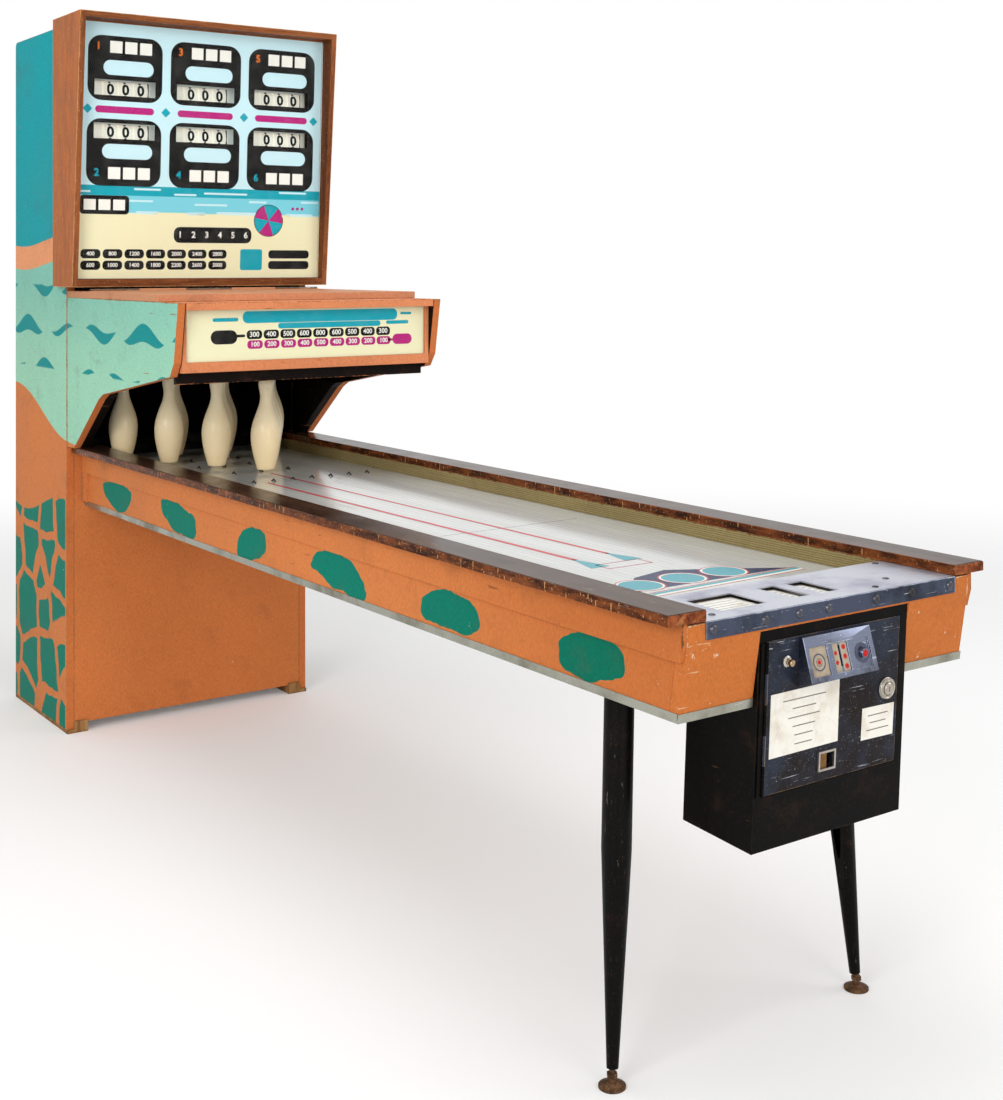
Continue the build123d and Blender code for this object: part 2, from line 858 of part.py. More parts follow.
def cushion():
    front = face_y + cushion_front - cushion_rubber
    rear = front + cushion_depth
    low = playfield_top + seat_gap
    high = low + cushion_height
    middle = (low + high) / 2
    points = [(rear, low), (front + cushion_nose, low), (front, middle), (front + cushion_nose, high), (rear, high)]
    half = rail_inner - seat_gap
    return side_shape(points, -half, half)


# Pins

def pin_places():
    """Row by row from the front: one pin, then two, three and four."""
    places = []
    for row in range(pin_rows):
        for column in range(row + 1):
            x = (2 * column - row) * pin_column
            places.append((x, face_y - pin_front + row * pin_row))
    return places


def pin_pivot_z():
    return pin_base_z + pin_height + pivot_rise


def pin_body():
    """Turned pin with flat foot, full belly, slim neck and round head, on local Z."""
    outer = [(width * pin_height, height * pin_height) for width, height in pin_outline_shares]
    section = outline([(0, 0), (pin_base_radius, 0), *outer, (0, pin_height)])
    return revolve(Plane.XZ * section, Axis.Z)


def pin(x, y):
    width, thick = hanger_strap
    top = pin_base_z + pin_height
    pivot = pin_pivot_z()
    body = Pos(x, y, pin_base_z) * pin_body()
    strap = block(x - width / 2, x + width / 2, y - thick / 2, y + thick / 2, top - hanger_sink, pivot)
    half = hanger_eye_length / 2
    eye = rod((x - half, y, pivot), (x + half, y, pivot), hanger_eye_radius)
    bore = rod((x - overrun, y, pivot), (x + overrun, y, pivot), pivot_radius + running_clearance)
    return body + ((strap + eye) - bore)


def pin_rack():
    """A steel plate under the hood with two lugs and a pivot for each pin."""
    half = hood_half - board - seat_gap
    rack = block(-half, half, face_y - rack_front, face_y - rack_rear, rack_low, rack_low + rack_sheet)
    pivot = pin_pivot_z()
    inner = hanger_eye_length / 2 + lug_gap
    outer = inner + lug
    for x, y in pin_places():
        for low, high in ((-outer, -inner), (inner, outer)):
            rack += block(x + low, x + high, y - lug_width / 2, y + lug_width / 2, pivot - lug_drop, rack_low)
        rack += rod((x - outer, y, pivot), (x + outer, y, pivot), pivot_radius)
    return rack


# Hood

def hood_side():
    """Side board of the hood with the sloping cheek that lands on the rail."""
    rear = face_y - hood_gap
    points = [(rear, hood_top), (face_y - hood_front, hood_top), (face_y - hood_knee_y, hood_knee_z),
              (face_y - hood_lip_y, hood_lip_z), (face_y - hood_heel_y, hood_heel_z),
              (face_y - hood_chamfer_y, hood_chamfer_z), (face_y - hood_toe_y, rail_top), (rear, rail_top)]
    outer = side_shape(points, hood_half - board, hood_half)
    cheek_points = [(rear, hood_heel_z), (face_y - hood_heel_y, hood_heel_z),
                    (face_y - hood_chamfer_y, hood_chamfer_z), (face_y - hood_toe_y, rail_top), (rear, rail_top)]
    return outer + side_shape(cheek_points, hood_half - board - cheek, hood_half - board)


def hood_rear_rail():
    return block(-hood_half, hood_half, face_y - rear_rail_depth, face_y - hood_gap, hood_top, hood_top + lid_board)


def hood_valance():
    half = hood_half - board - seat_gap
    front = face_y - valance_setback
    return block(-half, half, front, front + valance_board, valance_low, valance_high)


def hood_lid():
    rear = face_y - rear_rail_depth - lid_seam
    lid = block(-hood_half, hood_half, face_y - lid_front, rear, hood_top + seat_gap, hood_top + lid_board)
    fixed, moving = hood_hinge()
    return lid + moving, fixed


def hood_axis():
    y = face_y - rear_rail_depth - lid_seam / 2
    return (hinge_end_inset - hood_half, y, hood_top + lid_board + knuckle_radius)


def hood_hinge():
    length = 2 * (hood_half - hinge_end_inset)
    reach = knuckle_radius + knuckle_gap + leaf_width
    fixed, moving = knuckle_hinge(length, knuckle_radius, knuckle_pin_radius, reach, knuckle_count, 0)
    place = Plane(origin=hood_axis(), x_dir=(0, 1, 0), z_dir=(1, 0, 0))
    return place * fixed, place * moving


def hood_front_frame():
    """Top board, bottom rail and two stiles round the front glass."""
    half = hood_half - board - seat_gap
    glass_y = face_y - hood_glass_setback
    top_low = hood_top - hood_frame_top
    top_front = face_y - hood_front
    top = block(-half, half, top_front, face_y - lid_front, top_low, hood_top)
    rail_low = hood_knee_z - hood_rail_height
    rail_front = face_y - hood_knee_y
    bottom = block(-half, half, rail_front, rail_front + hood_rail_depth, rail_low, hood_knee_z)
    frame = top + bottom
    for side in (-1, 1):
        low, high = sorted((side * half, side * (half - hood_stile)))
        frame += block(low, high, glass_y - hood_glass, glass_y + hood_stile_depth, rail_low, top_low + seat_gap)
    return frame - hood_pane(running_clearance)


def hood_pane(clearance):
    """The front glass, or the groove that it stands in."""
    half = hood_half - board - hood_glass_groove
    y = face_y - hood_glass_setback
    low = hood_knee_z - hood_glass_groove
    high = hood_top - hood_frame_top + hood_glass_groove
    return block(-half - clearance, half + clearance, y - clearance, y + hood_glass + clearance,
                 low - clearance, high + clearance)


# Coin box, built in its own frame: local X to the right, local Y into the box, local Z up
# from the top edge of the face plate

def coin_place():
    return Pos(0, rail_front_y + box_setback, box_top) * Rot(box_lean, 0, 0)


def cash_box_housing():
    plate = block(-box_half, box_half, 0, box_sheet, -box_height, 0)
    shell = block(-box_half, box_half, 0, box_depth, -box_height, -box_shoulder)
    inner = box_half - box_sheet
    shell -= block(-inner, inner, -overrun, box_depth - box_sheet, box_sheet - box_height,
                   -box_shoulder - box_sheet)
    half = coin_door_half + coin_door_gap
    opening = block(-half, half, -overrun, box_sheet + overrun, -coin_door_low - coin_door_gap,
                    coin_door_gap - coin_door_top)
    housing = (plate + shell) - opening
    housing += block(box_half - strike_width, inner, box_sheet, lock_back, -lock_z - strike_width,
                     -lock_z + strike_width)
    fixed, moving = coin_hinge()
    return housing + fixed, moving


def coin_axis_x():
    return -coin_door_half - coin_door_gap / 2


def coin_hinge():
    length = coin_door_low - coin_door_top - 2 * coin_door_gap
    reach = coin_knuckle_radius + knuckle_gap + box_rim
    radius = coin_knuckle_radius
    fixed, moving = knuckle_hinge(length, radius, coin_knuckle_pin, reach, knuckle_count, 0)
    origin = (coin_axis_x(), -radius, coin_door_gap - coin_door_low)
    place = Plane(origin=origin, x_dir=(-1, 0, 0), z_dir=(0, 0, 1))
    return place * fixed, place * moving


def coin_door():
    """A folded door with its return cup and lock housing, open where the buttons pass."""
    top = -coin_door_top
    low = -coin_door_low
    half = coin_door_half
    door = block(-half, half, 0, coin_door_sheet, low, top)
    lip = block(coin_door_lip - half, half - coin_door_lip, 0, coin_door_flange, low + coin_door_lip,
                top - coin_door_lip)
    wall = coin_door_sheet
    hollow = block(coin_door_lip - half + wall, half - coin_door_lip - wall, wall, overrun,
                   low + coin_door_lip + wall, top - coin_door_lip - wall)
    door += lip - hollow
    door += rod((lock_x, -lock_bezel_proud, -lock_z), (lock_x, lock_back, -lock_z), lock_bezel_radius - wall)
    door += round_bezel(lock_x, -lock_z, lock_bezel_radius, lock_bezel_proud)
    door += round_bezel(start_x, -start_z, start_bush_radius, start_bush_proud)
    door += rod((start_x, 0, -start_z), (start_x, stem_reach / 2, -start_z), start_bush_radius)
    door += rod((reject_x, 0, -reject_z), (reject_x, stem_reach / 2, -reject_z), reject_stem_radius + wall)
    door = (door + return_cup()) - cup_hollow()
    door -= rod((lock_x, -overrun, -lock_z), (lock_x, lock_back + overrun, -lock_z),
                lock_radius + running_clearance)
    door -= rod((start_x, -overrun, -start_z), (start_x, stem_reach, -start_z), start_radius + running_clearance)
    door -= rod((reject_x, -overrun, -reject_z), (reject_x, stem_reach, -reject_z),
                reject_stem_radius + running_clearance)
    slot_half = coin_slot_width / 2
    door -= block(coin_slot_x - slot_half, coin_slot_x + slot_half, -overrun, overrun,
                  -coin_slot_z - coin_slot_height / 2, -coin_slot_z + coin_slot_height / 2)
    return door


def round_bezel(x, z, radius, proud):
    ring = rod((x, -proud, z), (x, 0, z), radius)
    rim = ring.edges().group_by(Axis.Y)[0]
    return chamfer(rim, proud / 2)


def return_cup():
    """The coin return: a rim on the door's face and a tapered cup behind it."""
    rim = block(cup_left, cup_right, -cup_proud, 0, -cup_low, -cup_top)
    cup = block(cup_left + cup_rim - cup_wall, cup_right - cup_rim + cup_wall, 0, cup_depth,
                -cup_low + cup_rim - cup_wall, -cup_top - cup_rim + cup_wall)
    return rim + cup - cup_hollow()


def cup_hollow():
    return block(cup_left + cup_rim, cup_right - cup_rim, -overrun, cup_depth - cup_wall,
                 -cup_low + cup_rim, -cup_top - cup_rim)


def flap_axis_x():
    return cup_left + cup_rim + flap_gap + flap_pin_radius


def coin_return_flap():
    """A small sprung gate over half of the cup, on its own two pintles."""
    low = -cup_low + cup_rim + flap_gap
    high = -cup_top - cup_rim - flap_gap
    width = (cup_right - cup_left - 2 * cup_rim) * flap_width_share
    x = flap_axis_x()
    plate = block(x, x + width, -flap_sheet / 2, flap_sheet / 2, low, high)
    barrel = rod((x, 0, low), (x, 0, high), flap_pin_radius)
    pintle_radius = flap_pin_radius / 2
    reach = flap_gap + cup_wall / 2
    pintles = rod((x, 0, low - reach), (x, 0, high + reach), pintle_radius)
    return plate + barrel + pintles


def flap_bores():
    x = flap_axis_x()
    reach = cup_wall / 2 + running_clearance
    radius = flap_pin_radius / 2 + running_clearance
    return rod((x, 0, -cup_low + cup_rim - reach), (x, 0, -cup_top - cup_rim + reach), radius)


def coin_entry_head():
    """The cast head: a wedge that stands out at its foot, with three sunk windows."""
    depth = coin_head_depth()
    points = [(0, -coin_head_top), (-coin_head_top_depth, -coin_head_top), (-depth, -coin_head_face_low),
              (0, -coin_head_low)]
    head = side_shape(points, coin_head_left, coin_head_right)
    lean = math.degrees(math.atan2(depth - coin_head_top_depth, coin_head_face_low - coin_head_top))
    face = Pos(0, -coin_head_top_depth, -coin_head_top) * Rot(-lean, 0, 0)
    slant = 1 / math.cos(math.radians(lean))
    high = -(coin_window_top - coin_head_top) * slant
    low = -(coin_window_low - coin_head_top) * slant
    for x, width in coin_head_windows:
        head -= face * block(x, x + width, -overrun, coin_window_depth, low, high)
    slot_half = coin_slot_width / 2
    head -= block(coin_slot_x - slot_half, coin_slot_x + slot_half, -2 * overrun, overrun,
                  -coin_slot_z - coin_slot_height / 2, -coin_slot_z + coin_slot_height / 2)
    well = reject_radius + running_clearance
    head -= rod((reject_x, -2 * overrun, -reject_z), (reject_x, overrun, -reject_z), well)
    return head


def coin_head_depth():
    """The head's nose is the machine's foremost point."""
    lean = math.radians(box_lean)
    nose = box_setback + coin_head_overhang + coin_head_face_low * math.sin(lean)
    return nose / math.cos(lean)


def head_face_y(z):
    """Local Y of the head's sloping face at a distance under the box top."""
    share = (z - coin_head_top) / (coin_head_face_low - coin_head_top)
    return -coin_head_top_depth - share * (coin_head_depth() - coin_head_top_depth)


def coin_mechanism():
    """The coin selector behind the door: a bracket with upright plates for each coin path."""
    front = coin_door_flange + mech_front
    back = front + mech_depth
    bracket = block(mech_left, mech_right, coin_door_sheet + seat_gap, back, -mech_low, mech_sheet - mech_low)
    step = (mech_right - mech_left - mech_sheet) / (mech_plates - 1)
    for index in range(mech_plates):
        x = mech_left + index * step
        bracket += block(x, x + mech_sheet, front, back, -mech_low, -mech_top)
    bracket += block(mech_left, mech_right, back - mech_sheet, back, -mech_low, -mech_top)
    return bracket


def button_stem(x, z, front, radius):
    """A button's stem, with the collar behind its bush that stops it from coming out."""
    back = stem_reach / 2 + seat_gap
    stem = rod((x, front, -z), (x, back + stem_collar, -z), radius)
    return stem + rod((x, back, -z), (x, back + stem_collar, -z), radius + stem_collar)


def reject_button():
    face = head_face_y(reject_z) - reject_proud
    cap_back = -reject_rest - reject_travel
    cap = rod((reject_x, face, -reject_z), (reject_x, cap_back, -reject_z), reject_radius)
    return cap + button_stem(reject_x, reject_z, cap_back, reject_stem_radius)


def start_button():
    knob = button_stem(start_x, start_z, -start_proud, start_radius)
    tip = knob.edges().group_by(Axis.Y)[0]
    return chamfer(tip, start_radius / 3)


def lock_cylinder():
    width, height, sheet = lock_cam
    slot_width, slot_height, slot_depth = key_slot
    body = rod((lock_x, -lock_proud, -lock_z), (lock_x, lock_back + seat_gap + sheet, -lock_z), lock_radius)
    rim = body.edges().group_by(Axis.Y)[0]
    body = chamfer(rim, slot_width)
    cam = block(lock_x - height / 2, lock_x + height / 2, lock_back + seat_gap, lock_back + seat_gap + sheet,
                -lock_z - width, -lock_z)
    key = block(lock_x - slot_width / 2, lock_x + slot_width / 2, -lock_proud - overrun,
                slot_depth - lock_proud, -lock_z - slot_height / 2, -lock_z + slot_height / 2)
    return body + cam - key


def cash_can():
    half = coin_door_half - can_gap
    floor = box_sheet - box_height + seat_gap
    can = block(-half, half, can_front, can_front + can_depth, floor, floor + can_height)
    inside = half - can_wall
    return can - block(-inside, inside, can_front + can_wall, can_front + can_depth - can_wall,
                       floor + can_wall, floor + can_height + overrun)


# Legs

def leg_flange_top():
    return lane_low + trim_sheet - seat_gap


def leg_frame():
    """Local Z runs up the right leg from the floor, splayed out and forward at the foot."""
    foot = (leg_foot_x, rail_front_y + leg_foot_y, 0)
    top = (leg_top_x, rail_front_y + leg_top_y, leg_flange_top())
    return Plane(origin=foot, x_dir=(1, 0, 0), z_dir=Vector(*top) - Vector(*foot)), math.dist(foot, top)


def tapered(radius, toe_radius, length, low):
    seat = (Align.CENTER, Align.CENTER, Align.MIN)
    upper = Pos(0, 0, leg_knee_z) * Cylinder(radius, length - leg_knee_z, align=seat)
    lower = Pos(0, 0, low) * Cone(toe_radius, radius, leg_knee_z - low, align=seat)
    return upper + lower


def leg():
    """A pressed leg: a tapered round channel, open along its inner side, with a bolted top flange."""
    place, length = leg_frame()
    long = length + overrun
    outer = tapered(leg_radius, leg_toe_radius, long, leg_toe_z)
    inner = tapered(leg_radius - leg_wall, leg_toe_radius - leg_wall, long + overrun, leveller_stud_top + leg_wall)
    mouth = leg_radius * leg_mouth_share
    channel = outer - inner
    channel -= block(-leg_radius - overrun, -mouth, -leg_radius, leg_radius, leg_knee_z / 2, long + overrun)
    stud_bore = leveller_stud_radius + running_clearance
    body = place * channel
    flange_z = leg_flange_top() - leg_flange[2]
    body &= block(0, rail_half, rail_front_y, 0, 0, flange_z + seat_gap)
    x, y = leg_top_x, rail_front_y + leg_top_y
    width, depth, sheet = leg_flange
    body += block(x - width / 2, x + width / 2, y - depth / 2, y + depth / 2, flange_z, flange_z + sheet)
    for dx in (-leg_flange_bolt, leg_flange_bolt):
        for dy in (-leg_flange_bolt, leg_flange_bolt):
            head = Pos(x + dx, y + dy, flange_z - leg_bolt_head) * RegularPolygon(bolt_head_radius, 6)
            body += extrude(head, amount=leg_bolt_head)
    axis_top = (leg_foot_x, rail_front_y + leg_foot_y, leveller_stud_top)
    body -= rod((leg_foot_x, rail_front_y + leg_foot_y, 0), axis_top, stud_bore)
    return body


def leveller():
    """A domed foot on its threaded stud, with the lock nut."""
    x, y = leg_foot_x, rail_front_y + leg_foot_y
    seat = (Align.CENTER, Align.CENTER, Align.MIN)
    dome = Cone(leveller_radius, leveller_nut_radius, leveller_dome - leveller_rim, align=seat)
    foot = rod((x, y, 0), (x, y, leveller_rim), leveller_radius) + Pos(x, y, leveller_rim) * dome
    foot += rod((x, y, 0), (x, y, leveller_stud_top - seat_gap), leveller_stud_radius)
    nut = RegularPolygon(leveller_nut_radius, 6)
    foot += extrude(Pos(x, y, leveller_nut_z) * nut, amount=leveller_nut_height)
    return foot


def build():
    side = cabinet_side()
    keep("cabinet_side_right", side)
    keep("cabinet_side_left", mirrored(side))
    skid = cabinet_skid()
    keep("cabinet_base", cabinet_base(), skid, mirrored(skid))
    keep("cabinet_front_panel", cabinet_front())
    keep("cabinet_top_board", cabinet_top())
    keep("cabinet_back_frame", back_frame())
    keep("rear_door", rear_door())
    frame, frame_leaf = backglass_frame()
    keep("backglass_frame", frame)
    keep("backglass", backglass())
    keep("light_board", light_board())
    keep("score_reels_upper", reel_row(window_row_high))
    keep("score_reels_lower", reel_row(window_row_low))
    keep("relay_panel", relay_panel())
    keep("transformer", transformer())
    lane = lane_side()
    keep("lane_side_right", lane)
    keep("lane_side_left", mirrored(lane))
    keep("rail_right", rail())
    keep("rail_left", mirrored(rail()))
    keep("lane_front_panel", lane_front())
    keep("lane_bottom_board", lane_bottom())
    keep("playfield", playfield())
    keep("edge_trim", *edge_trim())
    keep("apron_plate", apron())
    keep("apron_bolts", *apron_bolts())
    keep("rebound_cushion", cushion())
    for index, row in enumerate(rollover_rows):
        keep(f"rollover_row_{index + 1}", rollover_row(*row))
    for index, place in enumerate(pin_places()):
        keep(f"pin_{index + 1}", pin(*place))
    keep("pin_rack", pin_rack())
    cheeks = hood_side()
    keep("hood_side_right", cheeks)
    keep("hood_side_left", mirrored(cheeks))
    keep("hood_cross_rails", hood_rear_rail(), hood_valance())
    lid, lid_leaf = hood_lid()
    keep("hood_lid", lid)
    keep("hood_front_frame", hood_front_frame())
    keep("hood_glass", hood_pane(0))
    keep("piano_hinges", frame_leaf, lid_leaf)
    place = coin_place()
    housing, door_leaf = cash_box_housing()
    keep("cash_box_housing", place * housing)
    keep("coin_door", place * ((coin_door() + door_leaf) - flap_bores()))
    keep("coin_entry_head", place * coin_entry_head())
    keep("coin_mechanism", place * coin_mechanism())
    keep("reject_button", place * reject_button())
    keep("start_button", place * start_button())
    keep("lock_cylinder", place * lock_cylinder())
    keep("coin_return_flap", place * coin_return_flap())
    keep("cash_can", place * cash_can())
    keep("leg_right", leg())
    keep("leg_left", mirrored(leg()))
    keep("leveller_right", leveller())
    keep("leveller_left", mirrored(leveller()))


build()
os.makedirs("parts", exist_ok=True)
for name, shape in parts.items():
    export_step(shape, f"parts/{name}.step")
print(len(parts), "nodes")
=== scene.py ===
import bpy
import contextlib
import math
from mathutils import Matrix, Vector


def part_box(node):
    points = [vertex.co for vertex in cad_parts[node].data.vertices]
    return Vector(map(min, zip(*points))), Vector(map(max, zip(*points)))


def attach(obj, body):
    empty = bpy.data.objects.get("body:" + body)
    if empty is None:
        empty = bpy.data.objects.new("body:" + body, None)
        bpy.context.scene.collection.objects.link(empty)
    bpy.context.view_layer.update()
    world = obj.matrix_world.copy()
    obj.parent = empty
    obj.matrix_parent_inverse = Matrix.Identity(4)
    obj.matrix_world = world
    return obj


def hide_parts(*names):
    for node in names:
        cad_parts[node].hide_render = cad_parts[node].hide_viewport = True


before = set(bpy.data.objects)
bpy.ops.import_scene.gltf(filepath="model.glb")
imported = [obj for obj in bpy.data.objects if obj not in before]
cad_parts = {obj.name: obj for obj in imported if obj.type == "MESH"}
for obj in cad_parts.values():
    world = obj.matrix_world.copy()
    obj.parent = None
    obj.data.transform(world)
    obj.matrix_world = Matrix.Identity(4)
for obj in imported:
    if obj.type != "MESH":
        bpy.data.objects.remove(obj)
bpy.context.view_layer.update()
bpy.ops.object.select_all(action="DESELECT")

# Camera
# It stands to the player's left of the lane at chest height, level, with the lens
# shifted so that both the head of the cabinet and the feet of the lane are in the picture.
bpy.ops.object.camera_add(location=(-1.6018, -2.7425, 1.1518),
                          rotation=(math.radians(90), 0, math.radians(-35.2)))
camera = bpy.context.object
camera.data.lens = 49.75
camera.data.shift_y = -0.2608
bpy.context.scene.camera = camera
bpy.context.scene.view_settings.view_transform = "Standard"


# Studio
# A pale floor, four soft lamps and an even white room. The floor whitens away from
# the machine, so that it meets the room without a line.
class Value:
    """An output of a shader node. It is added, multiplied and so on like a number."""

    def __init__(self, socket):
        self.socket = socket

    def __abs__(self):
        return calc("ABSOLUTE", self)


for sign, operation in (("add", "ADD"), ("sub", "SUBTRACT"), ("mul", "MULTIPLY"), ("truediv", "DIVIDE"),
                        ("pow", "POWER")):
    setattr(Value, f"__{sign}__", lambda self, other, way=operation: calc(way, self, other))
    setattr(Value, f"__r{sign}__", lambda self, other, way=operation: calc(way, other, self))


def wire(value, socket):
    """Joins another node's output to a socket, or writes a plain value on it."""
    value = getattr(value, "socket", value)
    if isinstance(value, bpy.types.NodeSocket):
        socket.id_data.links.new(value, socket)
    elif value is not None:
        socket.default_value = value


def fill(node, **values):
    """Fills a node's sockets by their names, with _ for each space."""
    for name, value in values.items():
        wire(value, node.inputs[name.replace("_", " ")])
    return node


def add(tree, kind, *plugs, **settings):
    """One shader node, with its first sockets filled in their order."""
    made = tree.nodes.new("ShaderNode" + kind)
    for name, value in settings.items():
        setattr(made, name, value)
    for socket, value in zip(made.inputs, plugs):
        wire(value, socket)
    return made


def tree_of(*values):
    """The tree that holds the first node output among some values."""
    return next(value.socket.id_data for value in values if isinstance(value, Value))


def read(kind, *plugs, out=0, **settings):
    """One output of a new node, in the tree that its plugs come from."""
    return Value(add(tree_of(*plugs), kind, *plugs, **settings).outputs[out])


def calc(operation, *values):
    """One sum on numbers and node outputs."""
    return read("Math", *values, operation=operation)


def step(value, low, high):
    """A soft step: 0 below low and 1 above high, or the other way round if low is the larger."""
    return read("MapRange", value, low, high, interpolation_type="SMOOTHSTEP")


def place_in(tree):
    """The place of the point being shaded, in metres."""
    return Value(add(tree, "TexCoord").outputs["Object"])


def seen_by(tree, *rays):
    """One for any of some kinds of ray, nought for all others."""
    path = add(tree, "LightPath").outputs
    found = 0.0
    for ray in rays:
        found = calc("MAXIMUM", found, Value(path[ray]))
    return found


def aim(lamp, target):
    lamp.rotation_euler = (Vector(target) - lamp.location).to_track_quat("-Z", "Y").to_euler()


for place, size, watts in (((-3.8, -2.4, 2.2), 2.2, 105), ((-0.6, -4.8, 1.3), 1.6, 42),
                           ((3.2, -2.6, 2.6), 2.4, 45), ((-0.4, 0.2, 4.2), 2.6, 56)):
    bpy.ops.object.light_add(type="AREA", location=place)
    lamp = bpy.context.object
    lamp.data.size = size
    lamp.data.energy = watts
    aim(lamp, (0, 0, 0.8))

room = bpy.data.worlds.new("white room")
bpy.context.scene.world = room
room.use_nodes = True
sky = room.node_tree
white = (1, 1, 1, 1)
plain_view = ("Is Camera Ray", "Is Transmission Ray", "Is Glossy Ray")
clear = seen_by(sky, *plain_view)
fill(sky.nodes["Background"], Color=white, Strength=clear * 0.42 + 0.58)

bpy.ops.mesh.primitive_plane_add(size=24, location=(0, 0, 0))
floor = bpy.context.object
floor.name = "floor"
floor_paint = bpy.data.materials.new("pale floor")
floor_paint.use_nodes = True
tree = floor_paint.node_tree
shader = tree.nodes["Principled BSDF"]
clear = seen_by(tree, *plain_view)
fill(shader, Base_Color=(0.82, 0.82, 0.82, 1), Roughness=0.75, Emission_Color=white,
     Emission_Strength=clear * 0.12)
away = read("VectorMath", place_in(tree), operation="LENGTH", out="Value")
far = step(away, 2.2, 5.0) * clear
blend = add(tree, "MixShader", far, shader.outputs[0], add(tree, "Emission", white, 1.0).outputs[0])
wire(blend.outputs[0], tree.nodes["Material Output"].inputs["Surface"])
floor.data.materials.append(floor_paint)


# Cabinet
# Two plywood sides, a front board with the pit opening, a top and a floor, glued and nailed,
# then brushed with house paint: teal above, a pale aqua belt, orange below with green stones.
def rgb(red, green, blue):
    """A paint colour, given as it reads on a colour card."""
    return tuple((value / 255) ** 2.2 for value in (red, green, blue)) + (1,)


def group_of(name, plugs, outlets):
    """An empty shader group, with what its sockets give and its output node. Each socket is listed by
    its name and v, c or f for its kind."""
    kinds = {"v": "NodeSocketVector", "c": "NodeSocketColor", "f": "NodeSocketFloat"}
    made = bpy.data.node_groups.new(name, "ShaderNodeTree")
    for way, sockets in (("INPUT", plugs), ("OUTPUT", outlets)):
        for socket in sockets.split():
            label, kind = socket.split(":")
            made.interface.new_socket(label, in_out=way, socket_type=kinds[kind])
    given = [Value(socket) for socket in made.nodes.new("NodeGroupInput").outputs]
    return made, given[:len(plugs.split())], made.nodes.new("NodeGroupOutput")


def use(group, *plugs):
    """The outputs of a shader group, with its sockets filled in their order."""
    made = add(tree_of(*plugs), "Group", *plugs, node_tree=group)
    return [Value(socket) for socket in made.outputs]


def mix(share, first, second, way="MIX"):
    """The first colour where the share is 0, the second where it is 1."""
    made = add(tree_of(share, first, second), "Mix", data_type="RGBA", blend_type=way)
    for index, value in ((0, share), (6, first), (7, second)):
        wire(value, made.inputs[index])
    return Value(made.outputs[2])


def speckle(vector, scale, detail, grit):
    """Noise as one value round a half."""
    made = add(tree_of(vector), "TexNoise")
    return Value(fill(made, Vector=vector, Scale=scale, Detail=detail, Roughness=grit).outputs[0])


def turned(vector, scale=(1, 1, 1), turn=(0, 0, 0), move=(0, 0, 0)):
    """A place that is scaled, turned by degrees and moved."""
    return read("Mapping", vector, move, [math.radians(angle) for angle in turn], scale)


def part_of(vector):
    """The three parts of a place or direction."""
    return [Value(socket) for socket in add(tree_of(vector), "SeparateXYZ", vector).outputs]


def faced(spot):
    """The three parts of the direction that the surface faces."""
    return part_of(Value(add(tree_of(spot), "TexCoord").outputs["Normal"]))


board_edges, (spot, low, high, reach), out = group_of("board edges", "Vector:v Low:v High:v Reach:f",
                                                      "Edge:f")
below = read("VectorMath", spot, low, operation="SUBTRACT")
above = read("VectorMath", high, spot, operation="SUBTRACT")
x, y, z = part_of(read("VectorMath", below, above, operation="MINIMUM"))
least = calc("MINIMUM", x, y)
most = calc("MAXIMUM", x, y)
middle = calc("MAXIMUM", least, calc("MINIMUM", most, z))
ragged = speckle(spot, 42, 5, 0.65) * reach + middle
fill(out, Edge=step(ragged / reach, 0.95, 0.42))

old_paint, (spot, paint, under, edge, wear), out = group_of(
    "old paint", "Vector:v Paint:c Under:c Edge:f Wear:f", "Color:c Roughness:f Height:f")
cloud = speckle(spot, 3.1, 4, 0.6)
tone = mix(1.0, paint, cloud * 0.34 + 0.83, "MULTIPLY")
dirt = step(speckle(spot, 11, 6, 0.7), 0.52, 0.78)
tone = mix(dirt * (wear * 0.45), tone, rgb(84, 58, 40))
grit = speckle(turned(spot, (420, 420, 170), (12, 5, 0)), 1.0, 4, 0.7)
tone = mix(1.0, tone, grit * 0.9 + 0.56, "MULTIPLY")
fine = speckle(spot, 260, 2, 0.6)
tone = mix(step(fine, 0.56, 0.72) * 0.06, tone, under)
pits = edge * 0.3 + speckle(spot, 120, 4, 0.72)
chips = step(pits - (wear * -0.07 + 0.76), 0.0, 0.03)
cuts = step(speckle(turned(spot, (14, 14, 150), (24, 8, 0)), 1.0, 3, 0.6), 0.7, 0.73)
bare = calc("MAXIMUM", chips, cuts * wear)
fill(out, Color=mix(bare, tone, under), Roughness=bare * 0.25 + (cloud * 0.3 + 0.34),
     Height=bare * -0.6 + (fine * 0.25 + 0.6))

wood_grain, (spot, light, dark, scale), out = group_of(
    "wood grain", "Vector:v Light:c Dark:c Scale:f", "Color:c Roughness:f Height:f")
fibre = read("VectorMath", spot, (1.0, 0.045, 1.0), operation="MULTIPLY")
figure = speckle(fibre, scale * 0.09, 3, 0.55)
pores = speckle(fibre, scale, 3, 0.65)
lines = pores * 0.55 + figure * 0.6
fill(out, Color=mix(step(lines, 0.38, 0.75), dark, light), Roughness=pores * 0.3 + 0.32, Height=pores)


def coat(material, tone, dull, relief=None, depth=0.0004, metal=0.0, shine=0.05):
    """Joins colour, roughness, relief and shine to a material's own shader."""
    tree = material.node_tree
    shader = fill(tree.nodes["Principled BSDF"], Base_Color=tone, Roughness=dull, Metallic=metal,
                  Specular_IOR_Level=shine)
    if relief is not None:
        bump = fill(add(tree, "Bump"), Distance=depth, Height=relief)
        wire(bump.outputs[0], shader.inputs["Normal"])
    return material


def finish_named(name):
    """A new material and the place of the point being shaded."""
    made = bpy.data.materials.new(name)
    made.use_nodes = True
    return made, place_in(made.node_tree)


def worn_edge(spot, box, reach):
    """One along the ragged edges of a box, nought away from them."""
    return use(board_edges, spot, *box, reach)[0]


